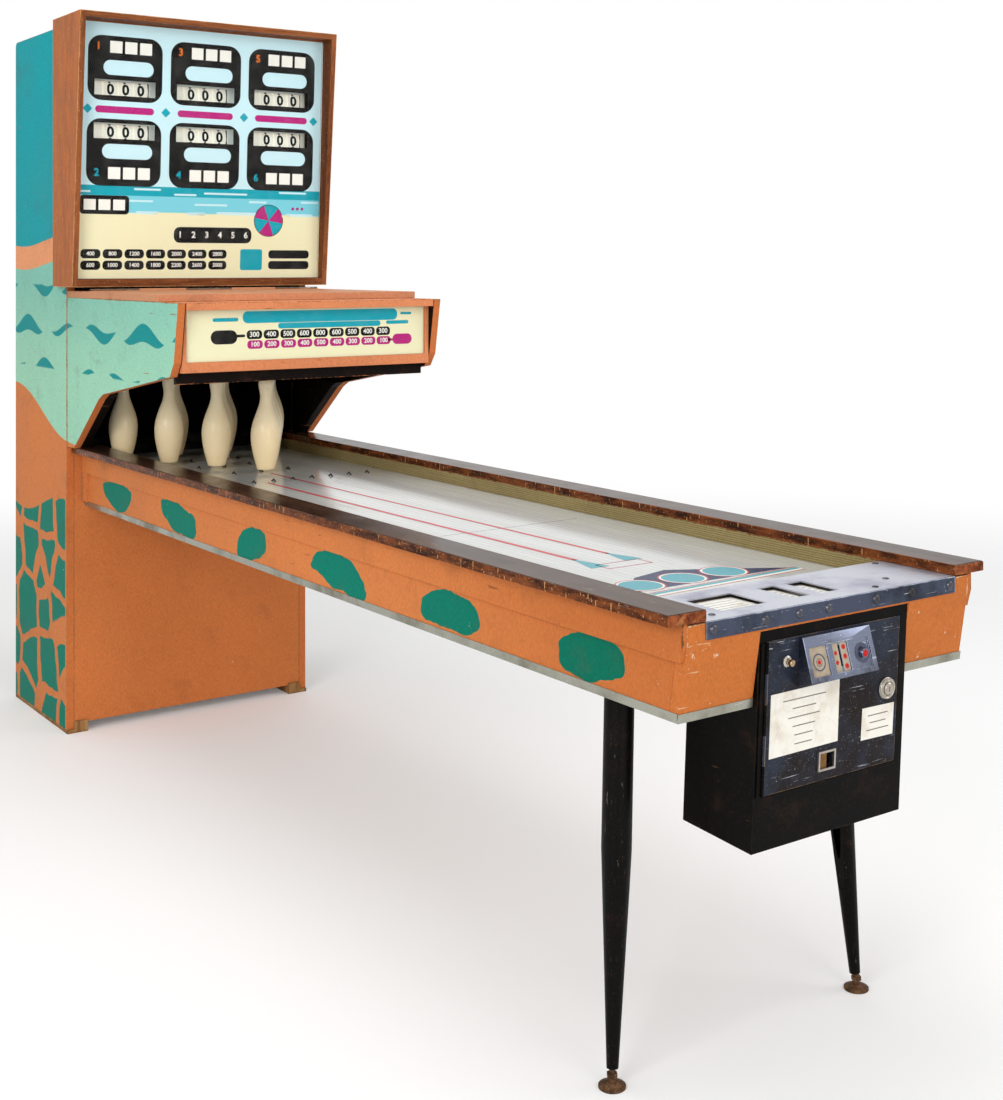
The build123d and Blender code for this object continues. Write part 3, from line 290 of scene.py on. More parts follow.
def dress(name, material, ease=0.0):
    """Puts a material on a CAD node, and may take the sharpness off its corners."""
    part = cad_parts[name]
    for slot in part.material_slots:
        slot.material = material
    if ease:
        weld = part.modifiers.new("closed", "WELD")
        weld.merge_threshold = 0.00001
        round_off = part.modifiers.new("eased", "BEVEL")
        round_off.width = ease
        round_off.segments = 2
        round_off.limit_method = "ANGLE"
        round_off.angle_limit = math.radians(38)


def paint_board(name, paint, wear, under=rgb(150, 104, 66), reach=0.006, ease=0.0007):
    """Brush paint on one board, rubbed through along its own edges."""
    material, spot = finish_named(name + " paint")
    edge = worn_edge(spot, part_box(name), reach)
    paint = paint(spot) if callable(paint) else paint
    dress(name, coat(material, *use(old_paint, spot, paint, under, edge, wear)), ease)


orange = rgb(198, 118, 68)
teal = rgb(2, 148, 156)
aqua = rgb(148, 200, 172)
green = rgb(0, 114, 96)


def knocked(spot, tone, low=0.69):
    """Pale places where the paint is knocked off to the bare wood."""
    knocks = step(speckle(spot, 34, 6, 0.75), low, low + 0.02)
    return mix(knocks * 0.75, tone, rgb(216, 190, 164))


def side_art(spot):
    """The painted zones of a side: two curved borders, tapered strokes and a crazed stone footing."""
    x, y, z = part_of(spot)
    sway = calc("SINE", y * 11.0 + 0.6)
    belt = (y - 0.91) * 0.22 + 0.735
    belt = sway * 0.022 + belt
    tone = mix(step(z - belt, 0.0, 0.003), orange, aqua)
    deep = step(z, 0.86, 1.13)
    tone = mix(deep * 0.3, tone, teal)
    rows = z / 0.104
    row = calc("FLOOR", rows)
    along = row * 0.43 + y / 0.26
    number = calc("FLOOR", along)
    chance = read("TexWhiteNoise", read("CombineXYZ", row, number, 0.0), noise_dimensions="2D")
    along = calc("FRACT", along) - 0.5
    up = calc("FRACT", rows) - 0.5
    curl = calc("SINE", along * 8.0 + chance * 5.0)
    off = abs(curl * 0.11 + up)
    thick = chance * 0.12 + 0.09
    half = along * along * -1.0 + thick
    stroke = step(half - off, 0.0, 0.02)
    within = step(z, 0.885, 0.89) * step(z, 1.1, 1.095)
    tone = mix(stroke * within, tone, rgb(12, 134, 134))
    head = sway * 0.012 + z
    tone = mix(step(head, 1.145, 1.148), tone, rgb(222, 148, 104))
    tone = mix(step(head, 1.205, 1.208), tone, teal)
    wander = part_of(read("TexNoise", spot, None, 9.0, 2.0, out="Color"))
    flat = read("CombineXYZ", 0.0, wander[0] * 0.05 + y, wander[1] * 0.05 + z)
    stones = fill(add(tree_of(spot), "TexVoronoi", feature="DISTANCE_TO_EDGE"), Vector=flat, Scale=7.6,
                  Randomness=0.6)
    laid = step(Value(stones.outputs[0]), 0.072, 0.082)
    low_down = step(sway * 0.03 + z, 0.545, 0.54)
    tone = mix(laid * low_down * step(y, 0.918, 0.92), tone, green)
    tone = mix(step(abs(faced(spot)[0]), 0.6, 0.5), tone, rgb(190, 108, 62))
    tone = knocked(spot, tone)
    inside = mix(step(z, 1.08, 1.1), rgb(24, 20, 18), rgb(164, 122, 78))
    return mix(step(abs(x), 0.3092, 0.3088), tone, inside)


for name in ("cabinet_side_left", "cabinet_side_right"):
    paint_board(name, side_art, 0.55)
paint_board("cabinet_top_board", teal, 0.8)


def ply_board(name, along, blackened):
    """Bare plywood browned with age, its grain turned, and its front face black where that is 1."""
    material, spot = finish_named(name + " ply")
    edge = worn_edge(spot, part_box(name), 0.01)
    wood, dull, pores = use(wood_grain, turned(spot, turn=along), rgb(176, 134, 88), rgb(116, 80, 48),
                            420.0)
    stain = step(speckle(spot, 6, 5, 0.65), 0.42, 0.75)
    tone = mix(stain * 0.5, wood, rgb(86, 60, 40))
    tone = mix(edge * 0.45, tone, rgb(70, 48, 32))
    tone = mix(step(faced(spot)[1], -0.5, -0.6) * blackened, tone, rgb(24, 20, 18))
    dress(name, coat(material, tone, dull * 0.6 + 0.4, pores, 0.0003), 0.0007)


for name in ("cabinet_back_frame", "rear_door"):
    ply_board(name, (90, 0, 0), 1.0)
ply_board("cabinet_base", (90, 0, 0), 0.0)
ply_board("lane_bottom_board", (0, 0, 0), 0.0)


# Lane body
# Plywood sides and front board on a thin floor, painted to match the cabinet. A batten runs
# under each rail, and dark gloss liners stand inside along the playing board.
def lane_art(spot):
    """Outside, orange with six green lozenges and painted shade to the front; inside, a painted olive
    reflection.
    """
    x, y, z = part_of(spot)
    pitch = 0.355
    place = (y - 0.69) / pitch + 0.5
    number = calc("FLOOR", place)
    off = (calc("FRACT", place) - 0.5) * pitch
    skew = calc("SINE", number * 2.4) * 0.17
    rise = off * skew + (z - 0.602)
    wide = calc("SINE", number * 3.9) * 0.014 + 0.082
    wide = rise * (calc("COSINE", number) * 0.7) + wide
    flat = abs(off / wide) ** 2.6
    tall = abs(rise / 0.0335) ** 2.6
    shape = speckle(spot, 17, 2, 0.5) * 1.7 + (flat + tall)
    spots = step(shape, 1.8, 1.76) * step(z, 0.634, 0.6335)
    side = abs(x)
    spots = spots * step(side, 0.2805, 0.281)
    spots = spots * (step(y, 0.86, 0.85) * step(y, -1.25, -1.24))
    tone = mix(spots, orange, green)
    # Painted reflection: the olive tone and the fine dark lines along the liner stand for the playing board
    # and its joints mirrored in the dark gloss.
    lines = calc("SINE", z * 1650)
    liner_reflection = mix(speckle(turned(spot, (40, 5, 300)), 1.0, 4, 0.6), rgb(118, 102, 68),
                rgb(158, 144, 102))
    liner_reflection = mix(step(lines, 0.2, 0.9) * 0.55, liner_reflection, rgb(74, 60, 38))
    # Painted shade: the outside darkens and warms towards the player's end of the lane, as if less light
    # fell there.
    tone = mix(step(y, -0.45, -1.25) * 0.7, tone, rgb(219, 204, 184), "MULTIPLY")
    inside = step(side, 0.2628, 0.2624)
    return mix(inside, knocked(spot, tone, 0.68), liner_reflection)


for name in ("lane_side_left", "lane_side_right"):
    paint_board(name, lane_art, 0.6, rgb(108, 72, 46), 0.011, 0.0006)
paint_board("lane_front_panel", lambda spot: knocked(spot, rgb(182, 104, 54), 0.655), 0.7,
            rgb(204, 166, 128), 0.011)


# Rails
# Hardwood caps with a dark laminate top. Years of hands have rubbed their outer edges down to
# bright wood, and a row of old staple marks runs along each side.
def rail_finish(name):
    """Dark laminate above and rubbed hardwood on the flanks and edges."""
    material, spot = finish_named(name + " varnish")
    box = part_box(name)
    edge = worn_edge(spot, box, 0.0035)
    wood, _, pores = use(wood_grain, spot, rgb(78, 56, 44), rgb(42, 30, 25), 300.0)
    x, y, z = part_of(spot)
    rubbed = step(speckle(turned(spot, (60, 14, 60)), 1.0, 5, 0.7), 0.36, 0.66)
    flank = mix(rubbed, rgb(50, 28, 18), rgb(112, 62, 34))
    marks = calc("FRACT", y * 61.0)
    marks = step(abs(marks - 0.5), 0.06, 0.03) * step(speckle(spot, 55, 3, 0.6), 0.57, 0.61)
    flecks = calc("MAXIMUM", marks, step(speckle(spot, 240, 4, 0.75), 0.61, 0.66))
    flank = mix(flecks * 0.8, flank, rgb(214, 158, 104))
    tone = mix(step(faced(spot)[2], 0.75, 0.55), wood, flank)
    fore = step(y, box[0][1] + 0.0012, box[0][1] + 0.0006)
    tone = mix(fore * 0.75, tone, mix(rubbed, rgb(92, 46, 28), rgb(158, 86, 50)))
    tone = mix(edge * 0.7, tone, mix(rubbed, rgb(104, 56, 34), rgb(160, 92, 56)))
    scuff = step(speckle(turned(spot, (180, 22, 180)), 1.0, 4, 0.7), 0.62, 0.7)
    tone = mix(scuff * 0.35, tone, rgb(150, 132, 120))
    dull = edge * 0.25 + (speckle(spot, 14, 4, 0.6) * 0.25 + 0.05)
    dress(name, coat(material, tone, dull, pores, 0.00008, shine=0.06))


for name in ("rail_left", "rail_right"):
    rail_finish(name)

# Playing board
# Narrow maple strips glued edge to edge, bleached and lacquered to a high gloss. The joints
# show as fine grey lines, and the rollover slots are routed through.
material, spot = finish_named("lane lacquer")
x, y, z = part_of(spot)
strip = x / 0.0145
seam = step(abs(calc("FRACT", strip) - 0.5), 0.45, 0.49)
each = read("TexWhiteNoise", None, calc("FLOOR", strip), noise_dimensions="1D")
wood, _, pores = use(wood_grain, spot, rgb(206, 207, 204), rgb(188, 190, 188), 240.0)
tone = mix(each * 0.22, wood, rgb(184, 186, 172))
tone = mix(seam * 0.75, tone, rgb(120, 118, 118))
traffic = step(speckle(turned(spot, (30, 2.2, 1)), 1.0, 5, 0.65), 0.5, 0.8)
tone = mix(traffic * 0.3, tone, rgb(160, 158, 146))
tone = mix(step(z, 0.6595, 0.659), tone, rgb(178, 146, 104))
dress("playfield", coat(material, tone, traffic * 0.16 + 0.12, pores, 0.00005, shine=0.5))


# Lane markings
# Screened on the board before the last coat of lacquer: two long red aiming lines with teal
# points, three aiming discs on a navy field, a striped border and four tan guide darts.
@contextlib.contextmanager
def editing():
    """Edit mode on the active object, with all of its mesh selected."""
    bpy.ops.object.mode_set(mode="EDIT")
    bpy.ops.mesh.select_all(action="SELECT")
    yield
    bpy.ops.object.mode_set(mode="OBJECT")


def cut_at(place, normal, trim=False):
    """Cuts the whole mesh along a plane, and may take away what lies beyond it."""
    bpy.ops.mesh.select_all(action="SELECT")
    bpy.ops.mesh.bisect(plane_co=place, plane_no=normal, clear_outer=trim)


def moved(x, y, z):
    return Matrix.Translation((x, y, z))


def tile(width, height, x, y, corner=0.0, turn=0.0):
    """A flat printed shape in the plane of X and Y, with rounded corners."""
    bpy.ops.mesh.primitive_plane_add(size=1, location=(x, y, 0), rotation=(0, 0, math.radians(turn)))
    shape = bpy.context.object
    shape.scale = (width, height, 1)
    bpy.ops.object.transform_apply()
    if corner:
        with editing():
            bpy.ops.mesh.bevel(offset=min(corner, width * 0.499, height * 0.499), segments=6,
                               affect="VERTICES")
    return shape


def patch(*corners):
    """A flat printed shape with straight sides, trimmed from a sheet corner by corner, anticlockwise."""
    across, up = zip(*corners)
    sheet = tile(max(across) - min(across), max(up) - min(up), (max(across) + min(across)) / 2,
                 (max(up) + min(up)) / 2)
    with editing():
        for (x0, y0), (x1, y1) in zip(corners, corners[1:] + corners[:1]):
            cut_at((x0, y0, 0), (y1 - y0, x0 - x1, 0), trim=True)
    return sheet


def disc(radius, x, y, hollow=0.0):
    """A flat printed disc, or a ring that is hollow up to a radius."""
    bpy.ops.mesh.primitive_circle_add(vertices=48, radius=radius, fill_type="NGON", location=(x, y, 0))
    shape = bpy.context.object
    bpy.ops.object.transform_apply()
    if hollow:
        with editing():
            bpy.ops.mesh.inset(thickness=radius - hollow)
            bpy.ops.mesh.delete(type="FACE")
    return shape


def gather(name, shapes, place=Matrix()):
    """Joins shapes into one piece and sets it in its place, which stays in its mesh."""
    bpy.ops.object.select_all(action="DESELECT")
    for shape in shapes:
        shape.select_set(True)
    piece = shapes[0]
    bpy.context.view_layer.objects.active = piece
    if len(shapes) > 1:
        bpy.ops.object.join()
    piece.name = name
    piece.matrix_world = place @ piece.matrix_world
    bpy.ops.object.transform_apply()
    bpy.ops.object.select_all(action="DESELECT")
    return piece


def settle(piece, material, body):
    """Gives a new piece its material, body and slot."""
    piece.data.materials.clear()
    piece.data.materials.append(material)
    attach(piece, body)
    return piece


def film(name, shapes, place, material, body, thick=0.00003):
    """Flat shapes given the thickness of a coat of ink, or of paper."""
    piece = gather(name, shapes, place)
    bpy.context.view_layer.objects.active = piece
    piece.select_set(True)
    coat_of_ink = piece.modifiers.new("thickness", "SOLIDIFY")
    coat_of_ink.thickness = thick
    bpy.ops.object.modifier_apply(modifier=coat_of_ink.name)
    piece.select_set(False)
    return settle(piece, material, body)


def ink(name, tone, gloss, rub=0.25, scale=90.0):
    """Screen ink: a flat colour that has thinned and rubbed away a little."""
    material, spot = finish_named(name)
    thin = speckle(spot, scale, 4, 0.7)
    tint = mix(thin * 0.16 - 0.07, tone, (0.55, 0.55, 0.5, 1))
    worn = step(speckle(spot, scale * 3, 3, 0.7), 0.6, 0.7) * rub
    tint = mix(worn, tint, (0.6, 0.6, 0.55, 1))
    return coat(material, tint, thin * 0.2 + (gloss - 0.1))


lane_ink = {name: ink("lane " + name, rgb(*tone), 0.22) for name, tone in (
    ("red", (190, 74, 80)), ("teal", (84, 158, 170)), ("navy", (38, 48, 84)), ("tan", (186, 158, 110)),
    ("pale", (226, 228, 220)))}
board_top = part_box("playfield")[1][2]
slant = 2.7
lines = [patch((0.018, -0.748), (0.030, -0.748), (0.0125, 0.472), (0.0015, 0.472)),
         patch((-0.061, -0.762), (-0.049, -0.762), (-0.0645, 0.336), (-0.0755, 0.336))]
border = [tile(0.09, 0.0025, -0.008, -0.812), tile(0.09, 0.0025, -0.008, -0.848),
          tile(0.0025, 0.0385, -0.053, -0.83), tile(0.0025, 0.0385, 0.037, -0.83)]
edging = [tile(0.322, 0.0022, 0.04, y, turn=slant) for y in (-1.016, -1.038)]
points = [patch((0.010, -0.812), (0.047, -0.812), (0.026, -0.735)),
          patch((-0.076, -0.83), (-0.038, -0.828), (-0.055, -0.750))]
stripe = tile(0.322, 0.009, 0.04, -1.024, turn=slant)
field = [patch((-0.15, -1.006), (0.19, -1.006), (0.012, -0.905), (-0.066, -0.925))]
discs = ((-0.095, -0.973), (-0.005, -0.969), (0.083, -0.968))
rounds = [disc(0.034, x, y) for x, y in discs]
halos = [disc(0.038, x, y) for x, y in discs] + [tile(0.322, 0.008, 0.04, -1.0325, turn=slant)]
rims = [disc(0.040, x, y, 0.0375) for x, y in discs]
darts = [patch((x - 0.004, y), (x + 0.004, y), (x, y + 0.03))
         for x, y in ((0.046, 0.297), (0.095, 0.296), (0.142, 0.299), (0.194, 0.303))]
cross = [tile(0.318, 0.0014, 0.0415, -0.443, turn=1.8)]
for shapes, name, tone, level in (
        (lines + border + rims + edging, "lines", "red", 3),
        (points + rounds + [stripe], "points", "teal", 3), (field, "field", "navy", 1),
        (halos, "halos", "pale", 2), (darts, "darts", "tan", 1), (cross, "cross", "navy", 1)):
    film("lane_" + name, shapes, moved(0, 0, board_top + level * 0.00006), lane_ink[tone], "machine")

# Rollover wires and their carriers
# Spring wire that has gone dark, bent to a peak and pushed up through the board by a bar on
# guides.
metal_finish, (spot, shine, soil, scuff), out = group_of(
    "scuffed metal", "Vector:v Metal:c Soil:c Scuff:f", "Color:c Roughness:f Height:f")
cloud = speckle(spot, 9, 5, 0.65)
hair = speckle(turned(spot, (18, 420, 420), (0, 12, 20)), 1.0, 3, 0.6)
cross = speckle(turned(spot, (300, 16, 300), (14, 0, -28)), 1.0, 3, 0.6)
soiled = step(scuff * 0.12 + cloud, 0.5, 0.78)
tone = mix(soiled * scuff, shine, soil)
nicks = calc("MAXIMUM", step(hair, 0.66, 0.72), step(cross, 0.68, 0.74)) * scuff
fill(out, Color=mix(nicks * 0.6, tone, (0.8, 0.8, 0.82, 1)),
     Roughness=nicks * 0.15 + (soiled * 0.3 + (cloud * 0.2 + 0.14)), Height=nicks * -0.5 + hair)


def metal(name, tone, scuff, soil=rgb(92, 82, 72), depth=0.00006, bright=1.0):
    """Scuffed and soiled metal, less metallic where it is less bright."""
    material, spot = finish_named(name)
    return coat(material, *use(metal_finish, spot, tone, soil, scuff), depth, bright)


dark_wire = metal("dark wire", rgb(74, 66, 62), 0.3, bright=0.8)
for number in range(1, 5):
    dress(f"rollover_row_{number}", dark_wire, 0.0003)

# Metal edging
# Thin galvanised angle nailed round the foot of the lane, dulled and stained.
edging_zinc = metal("galvanised edging", rgb(158, 158, 146), 0.7, rgb(104, 98, 84), bright=0.8)
dress("edge_trim", edging_zinc, 0.0003)

# Apron
# A folded steel plate across the player's end, bolted through its painted front band. Three
# windows show printed cards in a shallow tray. It is scuffed all over.
material, spot = finish_named("apron steel")
x, y, z = part_of(spot)
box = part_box("apron_plate")
tone, dull, relief = use(metal_finish, spot, rgb(196, 198, 208), rgb(142, 142, 156), 0.75)
band = use(metal_finish, spot, rgb(74, 80, 96), rgb(40, 42, 50), 0.85)[0]
fore = step(y, box[0][1] + 0.0022, box[0][1] + 0.0016)
tone = mix(fore, tone, band)
tone = mix(worn_edge(spot, box, 0.004) * 0.7, tone, rgb(178, 184, 198))
# Painted shade: the faces below the top of the plate, the walls of the card windows among them, are
# darkened as shade in a recess.
inside = step(z, 0.6835, 0.6828) * (1.0 - fore)
tone = mix(inside, tone, rgb(92, 84, 74))
dress("apron_plate", coat(material, tone, dull * 0.8 + 0.16, relief, 0.00008, 0.85))


def paper(name, tone=rgb(232, 230, 222), stain=rgb(196, 184, 158)):
    """Blank card or paper, yellowed in patches and a little creased."""
    material, spot = finish_named(name)
    tint = mix(step(speckle(spot, 26, 5, 0.65), 0.45, 0.75), tone, stain)
    crease = step(abs(speckle(spot, 14, 2, 0.4) - 0.5), 0.012, 0.0)
    tint = mix(crease * 0.1, tint, rgb(150, 142, 128))
    return coat(material, tint, speckle(spot, 300, 2, 0.5) * 0.2 + 0.55, crease, 0.0001)


card_paper = paper("printed card")
windows = ((-0.190, 0.087), (-0.052, 0.033), (0.004, 0.035))
cards = [tile(width + 0.006, 0.078, x + width / 2, -1.2135, 0.001) for x, width in windows]
film("score_cards", cards, moved(0, 0, 0.6803), card_paper, "machine", 0.0002)
rules = [tile(width * 0.8, 0.0012, x + width / 2, -1.245 + 0.011 * row)
         for x, width in windows for row in range(6)]
film("score_card_rules", rules, moved(0, 0, 0.68036), ink("card rules", rgb(70, 74, 82), 0.5),
     "machine")


# Apron bolts and screws
# Domed bolt heads and flatter screw heads, each turned from the bar and driven through the
# sheet.
def turn_up(name, profile, sides=32, base=True):
    """Turns a shape from its profile, (radius, height) in millimetres: a ring drawn up pair by pair."""
    (radius, height), *others = [(max(r, 0.01) / 1000, h / 1000) for r, h in profile]
    bpy.ops.mesh.primitive_circle_add(vertices=sides, radius=radius,
                                      fill_type="NGON" if base else "NOTHING", location=(0, 0, height))
    shape = bpy.context.object
    shape.name = name
    bpy.ops.object.transform_apply()
    with editing():
        for wide, high in others:
            bpy.ops.mesh.extrude_region_move(TRANSFORM_OT_translate={"value": (0, 0, high - height)})
            bpy.ops.transform.resize(value=(wide / radius, wide / radius, 1), center_override=(0, 0, high))
            radius, height = wide, high
        bpy.ops.mesh.select_all(action="SELECT")
        bpy.ops.mesh.remove_doubles(threshold=0.000002)
        bpy.ops.mesh.normals_make_consistent(inside=False)
    bpy.ops.object.select_all(action="DESELECT")
    shape.select_set(True)
    bpy.ops.object.shade_smooth_by_angle(angle=math.radians(35))
    return shape


def copies(pattern, places):
    """Copies of a finished shape, each with its own mesh, at each place; the pattern itself goes."""
    made = []
    for place in places:
        twin = pattern.copy()
        twin.data = pattern.data.copy()
        bpy.context.collection.objects.link(twin)
        twin.matrix_world = place
        made.append(twin)
    bpy.data.objects.remove(pattern)
    return made


def tipped(angle, axis):
    return Matrix.Rotation(math.radians(angle), 4, axis)


forward = tipped(90, "X")
front_y = -1.2865
head = turn_up("bolt", ((6.6, 0), (6.4, 0.8), (5.6, 1.7), (4.2, 2.3), (2.2, 2.6), (0, 2.7)), 24)
bolts = copies(head, [moved(x, front_y, 0.675) @ forward
                      for x in (-0.237, -0.143, -0.078, -0.021, 0.076, 0.152, 0.237)])
head = turn_up("screw", ((5.2, 0), (5, 0.6), (3.8, 1.4), (1.8, 1.8), (0, 1.9)), 24)
screws = ((-0.216, 0.026), (-0.216, 0.132), (0.095, 0.018), (0.152, 0.048), (0.226, 0.132))
bolts += copies(head, [moved(x, front_y + y, 0.687) for x, y in screws])
bolt_steel = metal("plated bolts", rgb(84, 84, 90), 0.8, rgb(46, 40, 36))
heads = settle(gather("apron_bolt_heads", bolts), bolt_steel, "machine")
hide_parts("apron_bolts")


# Hood
# Two shaped plywood cheeks carry a lid in two boards and a glazed front frame. Outside they
# follow the cabinet's colours, inside they are flat black so that only the pins show.
black_paint = rgb(26, 22, 20)


def hood_art(spot):
    """The side's paint outside and on the edges, black inside."""
    x, y, z = part_of(spot)
    inside = step(abs(x), 0.3078, 0.3074)
    broad = step(abs(faced(spot)[0]), 0.5, 0.6)
    return mix(broad * inside, side_art(spot), black_paint)


def front_art(spot):
    """The front board: orange outside, black where the hood covers it."""
    z = part_of(spot)[2]
    return mix(step(z, 0.702, 0.704), knocked(spot, rgb(192, 112, 64)), black_paint)


for name in ("hood_side_left", "hood_side_right"):
    paint_board(name, hood_art, 0.7, reach=0.007)
paint_board("cabinet_front_panel", front_art, 0.5)
pink = rgb(190, 132, 98)
paint_board("hood_lid", pink, 0.7, rgb(170, 112, 76))
paint_board("hood_cross_rails", lambda spot: mix(step(part_of(spot)[2], 1.0, 1.01), black_paint, pink),
            0.6, rgb(150, 96, 62))
paint_board("hood_front_frame", rgb(206, 128, 88), 0.8, rgb(140, 86, 54), 0.005)
dress("piano_hinges", metal("dulled hinge", rgb(112, 96, 84), 0.8, rgb(72, 52, 40)))

# Pin rack
# A plain plated steel plate with a pair of lugs and a pivot wire for each pin.
dress("pin_rack", metal("rack plate", rgb(120, 118, 112), 0.5, rgb(66, 58, 50)))

# Pins
# Hollow moulded pins in ivory plastic, each on a steel strap hinged under the rack. The
# plastic has yellowed towards the foot and is faintly scratched.
profile = ((20.2, 0), (20.8, 0.8), (22.2, 6), (26.2, 20), (30.6, 38), (33.8, 56), (35.2, 72), (35.1, 84),
           (33.4, 98), (29.8, 112), (25.2, 125), (20.2, 138), (16, 150), (13.8, 161), (13.4, 170),
           (14.4, 179), (16.4, 189), (17.4, 198), (16.8, 205), (14.2, 210.5), (9.4, 213.5), (4.8, 214.5),
           (0, 214.7))
pattern = turn_up("pin", profile, 48)
half_pitch, row_gap = 0.067, 0.126
places = [((2 * column - row) * half_pitch, 0.486 + row * row_gap)
          for row in range(4) for column in range(row + 1)]
ivory, spot = finish_named("ivory plastic")
z = part_of(spot)[2]
aged = speckle(spot, 12, 4, 0.6) * 0.5 + step(z, 0.88, 0.68) * 0.45
tone = mix(aged, rgb(255, 244, 212), rgb(244, 214, 160))
streak = step(speckle(turned(spot, (420, 420, 26), (10, 6, 0)), 1.0, 3, 0.6), 0.66, 0.74)
tone = mix(streak * 0.35, tone, rgb(150, 118, 84))
soot = step(speckle(spot, 160, 4, 0.75), 0.66, 0.7)
tone = mix(soot * 0.4, tone, rgb(96, 70, 52))
coat(ivory, tone, streak * 0.2 + (aged * 0.12 + 0.16), streak, -0.00004)
fill(ivory.node_tree.nodes["Principled BSDF"], Coat_Weight=0.3)
strap_steel = metal("strap steel", rgb(140, 138, 132), 0.5, rgb(84, 72, 60))
bodies = copies(pattern, [moved(x, y, 0.67) for x, y in places])
sideways = tipped(90, "Y")
strap_height, pivot_height = 0.8885, 0.898
for number, (body, (x, y)) in enumerate(zip(bodies, places), 1):
    settle(gather(f"pin_{number}_turned", [body]), ivory, f"pin_{number}")
    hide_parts(f"pin_{number}")
    bpy.ops.mesh.primitive_cube_add(size=1, location=(x, y, strap_height))
    strap = bpy.context.object
    strap.scale = (0.012, 0.003, 0.0165)
    bpy.ops.object.transform_apply()
    with editing():
        bpy.ops.mesh.bevel(offset=0.0006, segments=2)
    eye = turn_up("eye", ((2.2, 0), (4.4, 0), (5, 0.6), (5, 13.4), (4.4, 14), (2.2, 14), (2.2, 0)), 24,
                  base=False)
    eye.matrix_world = moved(x - 0.007, y, pivot_height) @ sideways
    settle(gather(f"pin_{number}_hanger", [strap, eye]), strap_steel, f"pin_{number}")

# Rebound cushion
# A ribbed rubber strip with a rounded nose, glued across the back of the lane.
material, spot = finish_named("cushion rubber")
dust = step(speckle(spot, 24, 5, 0.65), 0.45, 0.75)
tone = mix(dust * 0.5, rgb(30, 28, 27), rgb(92, 84, 76))
dress("rebound_cushion", coat(material, tone, dust * 0.25 + 0.6, dust, 0.0002), 0.0006)

# Hood glass
# A cream screen-printed pane: a teal banner above, and two rows of score beads with plain
# numbers. The ink is on the back of the glass, one layer on another.
clear_glass = bpy.data.materials.new("clear glass")
clear_glass.use_nodes = True
tree = clear_glass.node_tree
smear = step(speckle(place_in(tree), 7, 5, 0.65), 0.5, 0.85)
shader = fill(tree.nodes["Principled BSDF"], Base_Color=(0.96, 0.98, 0.97, 1),
              Roughness=smear * 0.05 + 0.015, Transmission_Weight=1.0, IOR=1.14)
through = seen_by(tree, "Is Shadow Ray", "Is Diffuse Ray")
open_way = add(tree, "BsdfTransparent", white).outputs[0]
wire(add(tree, "MixShader", through, shader.outputs[0], open_way).outputs[0],
     tree.nodes["Material Output"].inputs["Surface"])
dress("hood_glass", clear_glass)


def figures(number, size, x, y, weight):
    """A plain printed number in the plane of X and Y, centred."""
    bpy.ops.object.text_add(location=(x, y, 0))
    words = bpy.context.object
    words.data.body = str(number)
    words.data.size = size
    words.data.offset = weight
    words.data.resolution_u = 3
    words.data.align_x = "CENTER"
    words.data.align_y = "CENTER"
    bpy.ops.object.convert(target="MESH")
    bpy.ops.object.transform_apply()
    return bpy.context.object


def print_set(prefix, place, body, layers):
    """Sets layers of ink on the back of a pane, each at its level toward the glass."""
    for name, level, shapes, tone in layers:
        film(f"{prefix}_{name}", shapes, place @ moved(0, 0, 0.00005 * level), pane_ink[tone], body)


pane_ink = {name: ink("print " + name, rgb(*tone), 0.5, rub, 30) for name, tone, rub in (
    ("cream", (236, 230, 190), 0.05), ("teal", (26, 158, 176), 0.05), ("black", (20, 18, 18), 0.04),
    ("magenta", (178, 40, 118), 0.04), ("white", (240, 238, 230), 0.06), ("sky", (196, 230, 238), 0.05),
    ("shallow", (120, 204, 220), 0.05), ("orange", (232, 118, 40), 0.05))}
hood_face = moved(0, 0.2653, 0) @ forward
beads = [-0.137 + 0.0405 * column for column in range(9)]
top_row = (300, 400, 500, 600, 800, 600, 500, 400, 300)
low_row = (100, 200, 300, 400, 500, 400, 300, 200, 100)
banner = [tile(0.39, 0.026, 0.03, 1.0345, 0.012), tile(0.26, 0.0125, 0.05, 1.0145, 0.006),
          tile(0.06, 0.008, -0.205, 1.030, 0.004), tile(0.06, 0.008, 0.225, 1.0160, 0.004),
          tile(0.03, 0.006, 0.248, 1.036, 0.003)]
black_beads = [tile(0.037, 0.0195, x, 0.9965, 0.008) for x in beads]
black_beads += [tile(0.062, 0.03, -0.2085, 0.9925, 0.015), tile(0.02, 0.006, -0.169, 0.9945, 0.003)]
red_beads = [tile(0.037, 0.0185, x + 0.0015, 0.975, 0.008) for x in beads]
red_beads += [tile(0.052, 0.024, 0.238, 0.977, 0.012), tile(0.016, 0.005, 0.205, 0.976, 0.0025)]
numbers = [figures(value, 0.0155, x, 0.9965, 0.0004) for value, x in zip(top_row, beads)]
numbers += [figures(value, 0.0145, x + 0.0015, 0.975, 0.0004) for value, x in zip(low_row, beads)]
print_set("hood_print", hood_face, "machine",
          (("ground", 0, [tile(0.593, 0.1105, 0, 0.9965)], "cream"), ("banner", 1, banner, "teal"),
           ("black_beads", 1, black_beads, "black"), ("red_beads", 2, red_beads, "magenta"),
           ("numbers", 3, numbers, "white")))


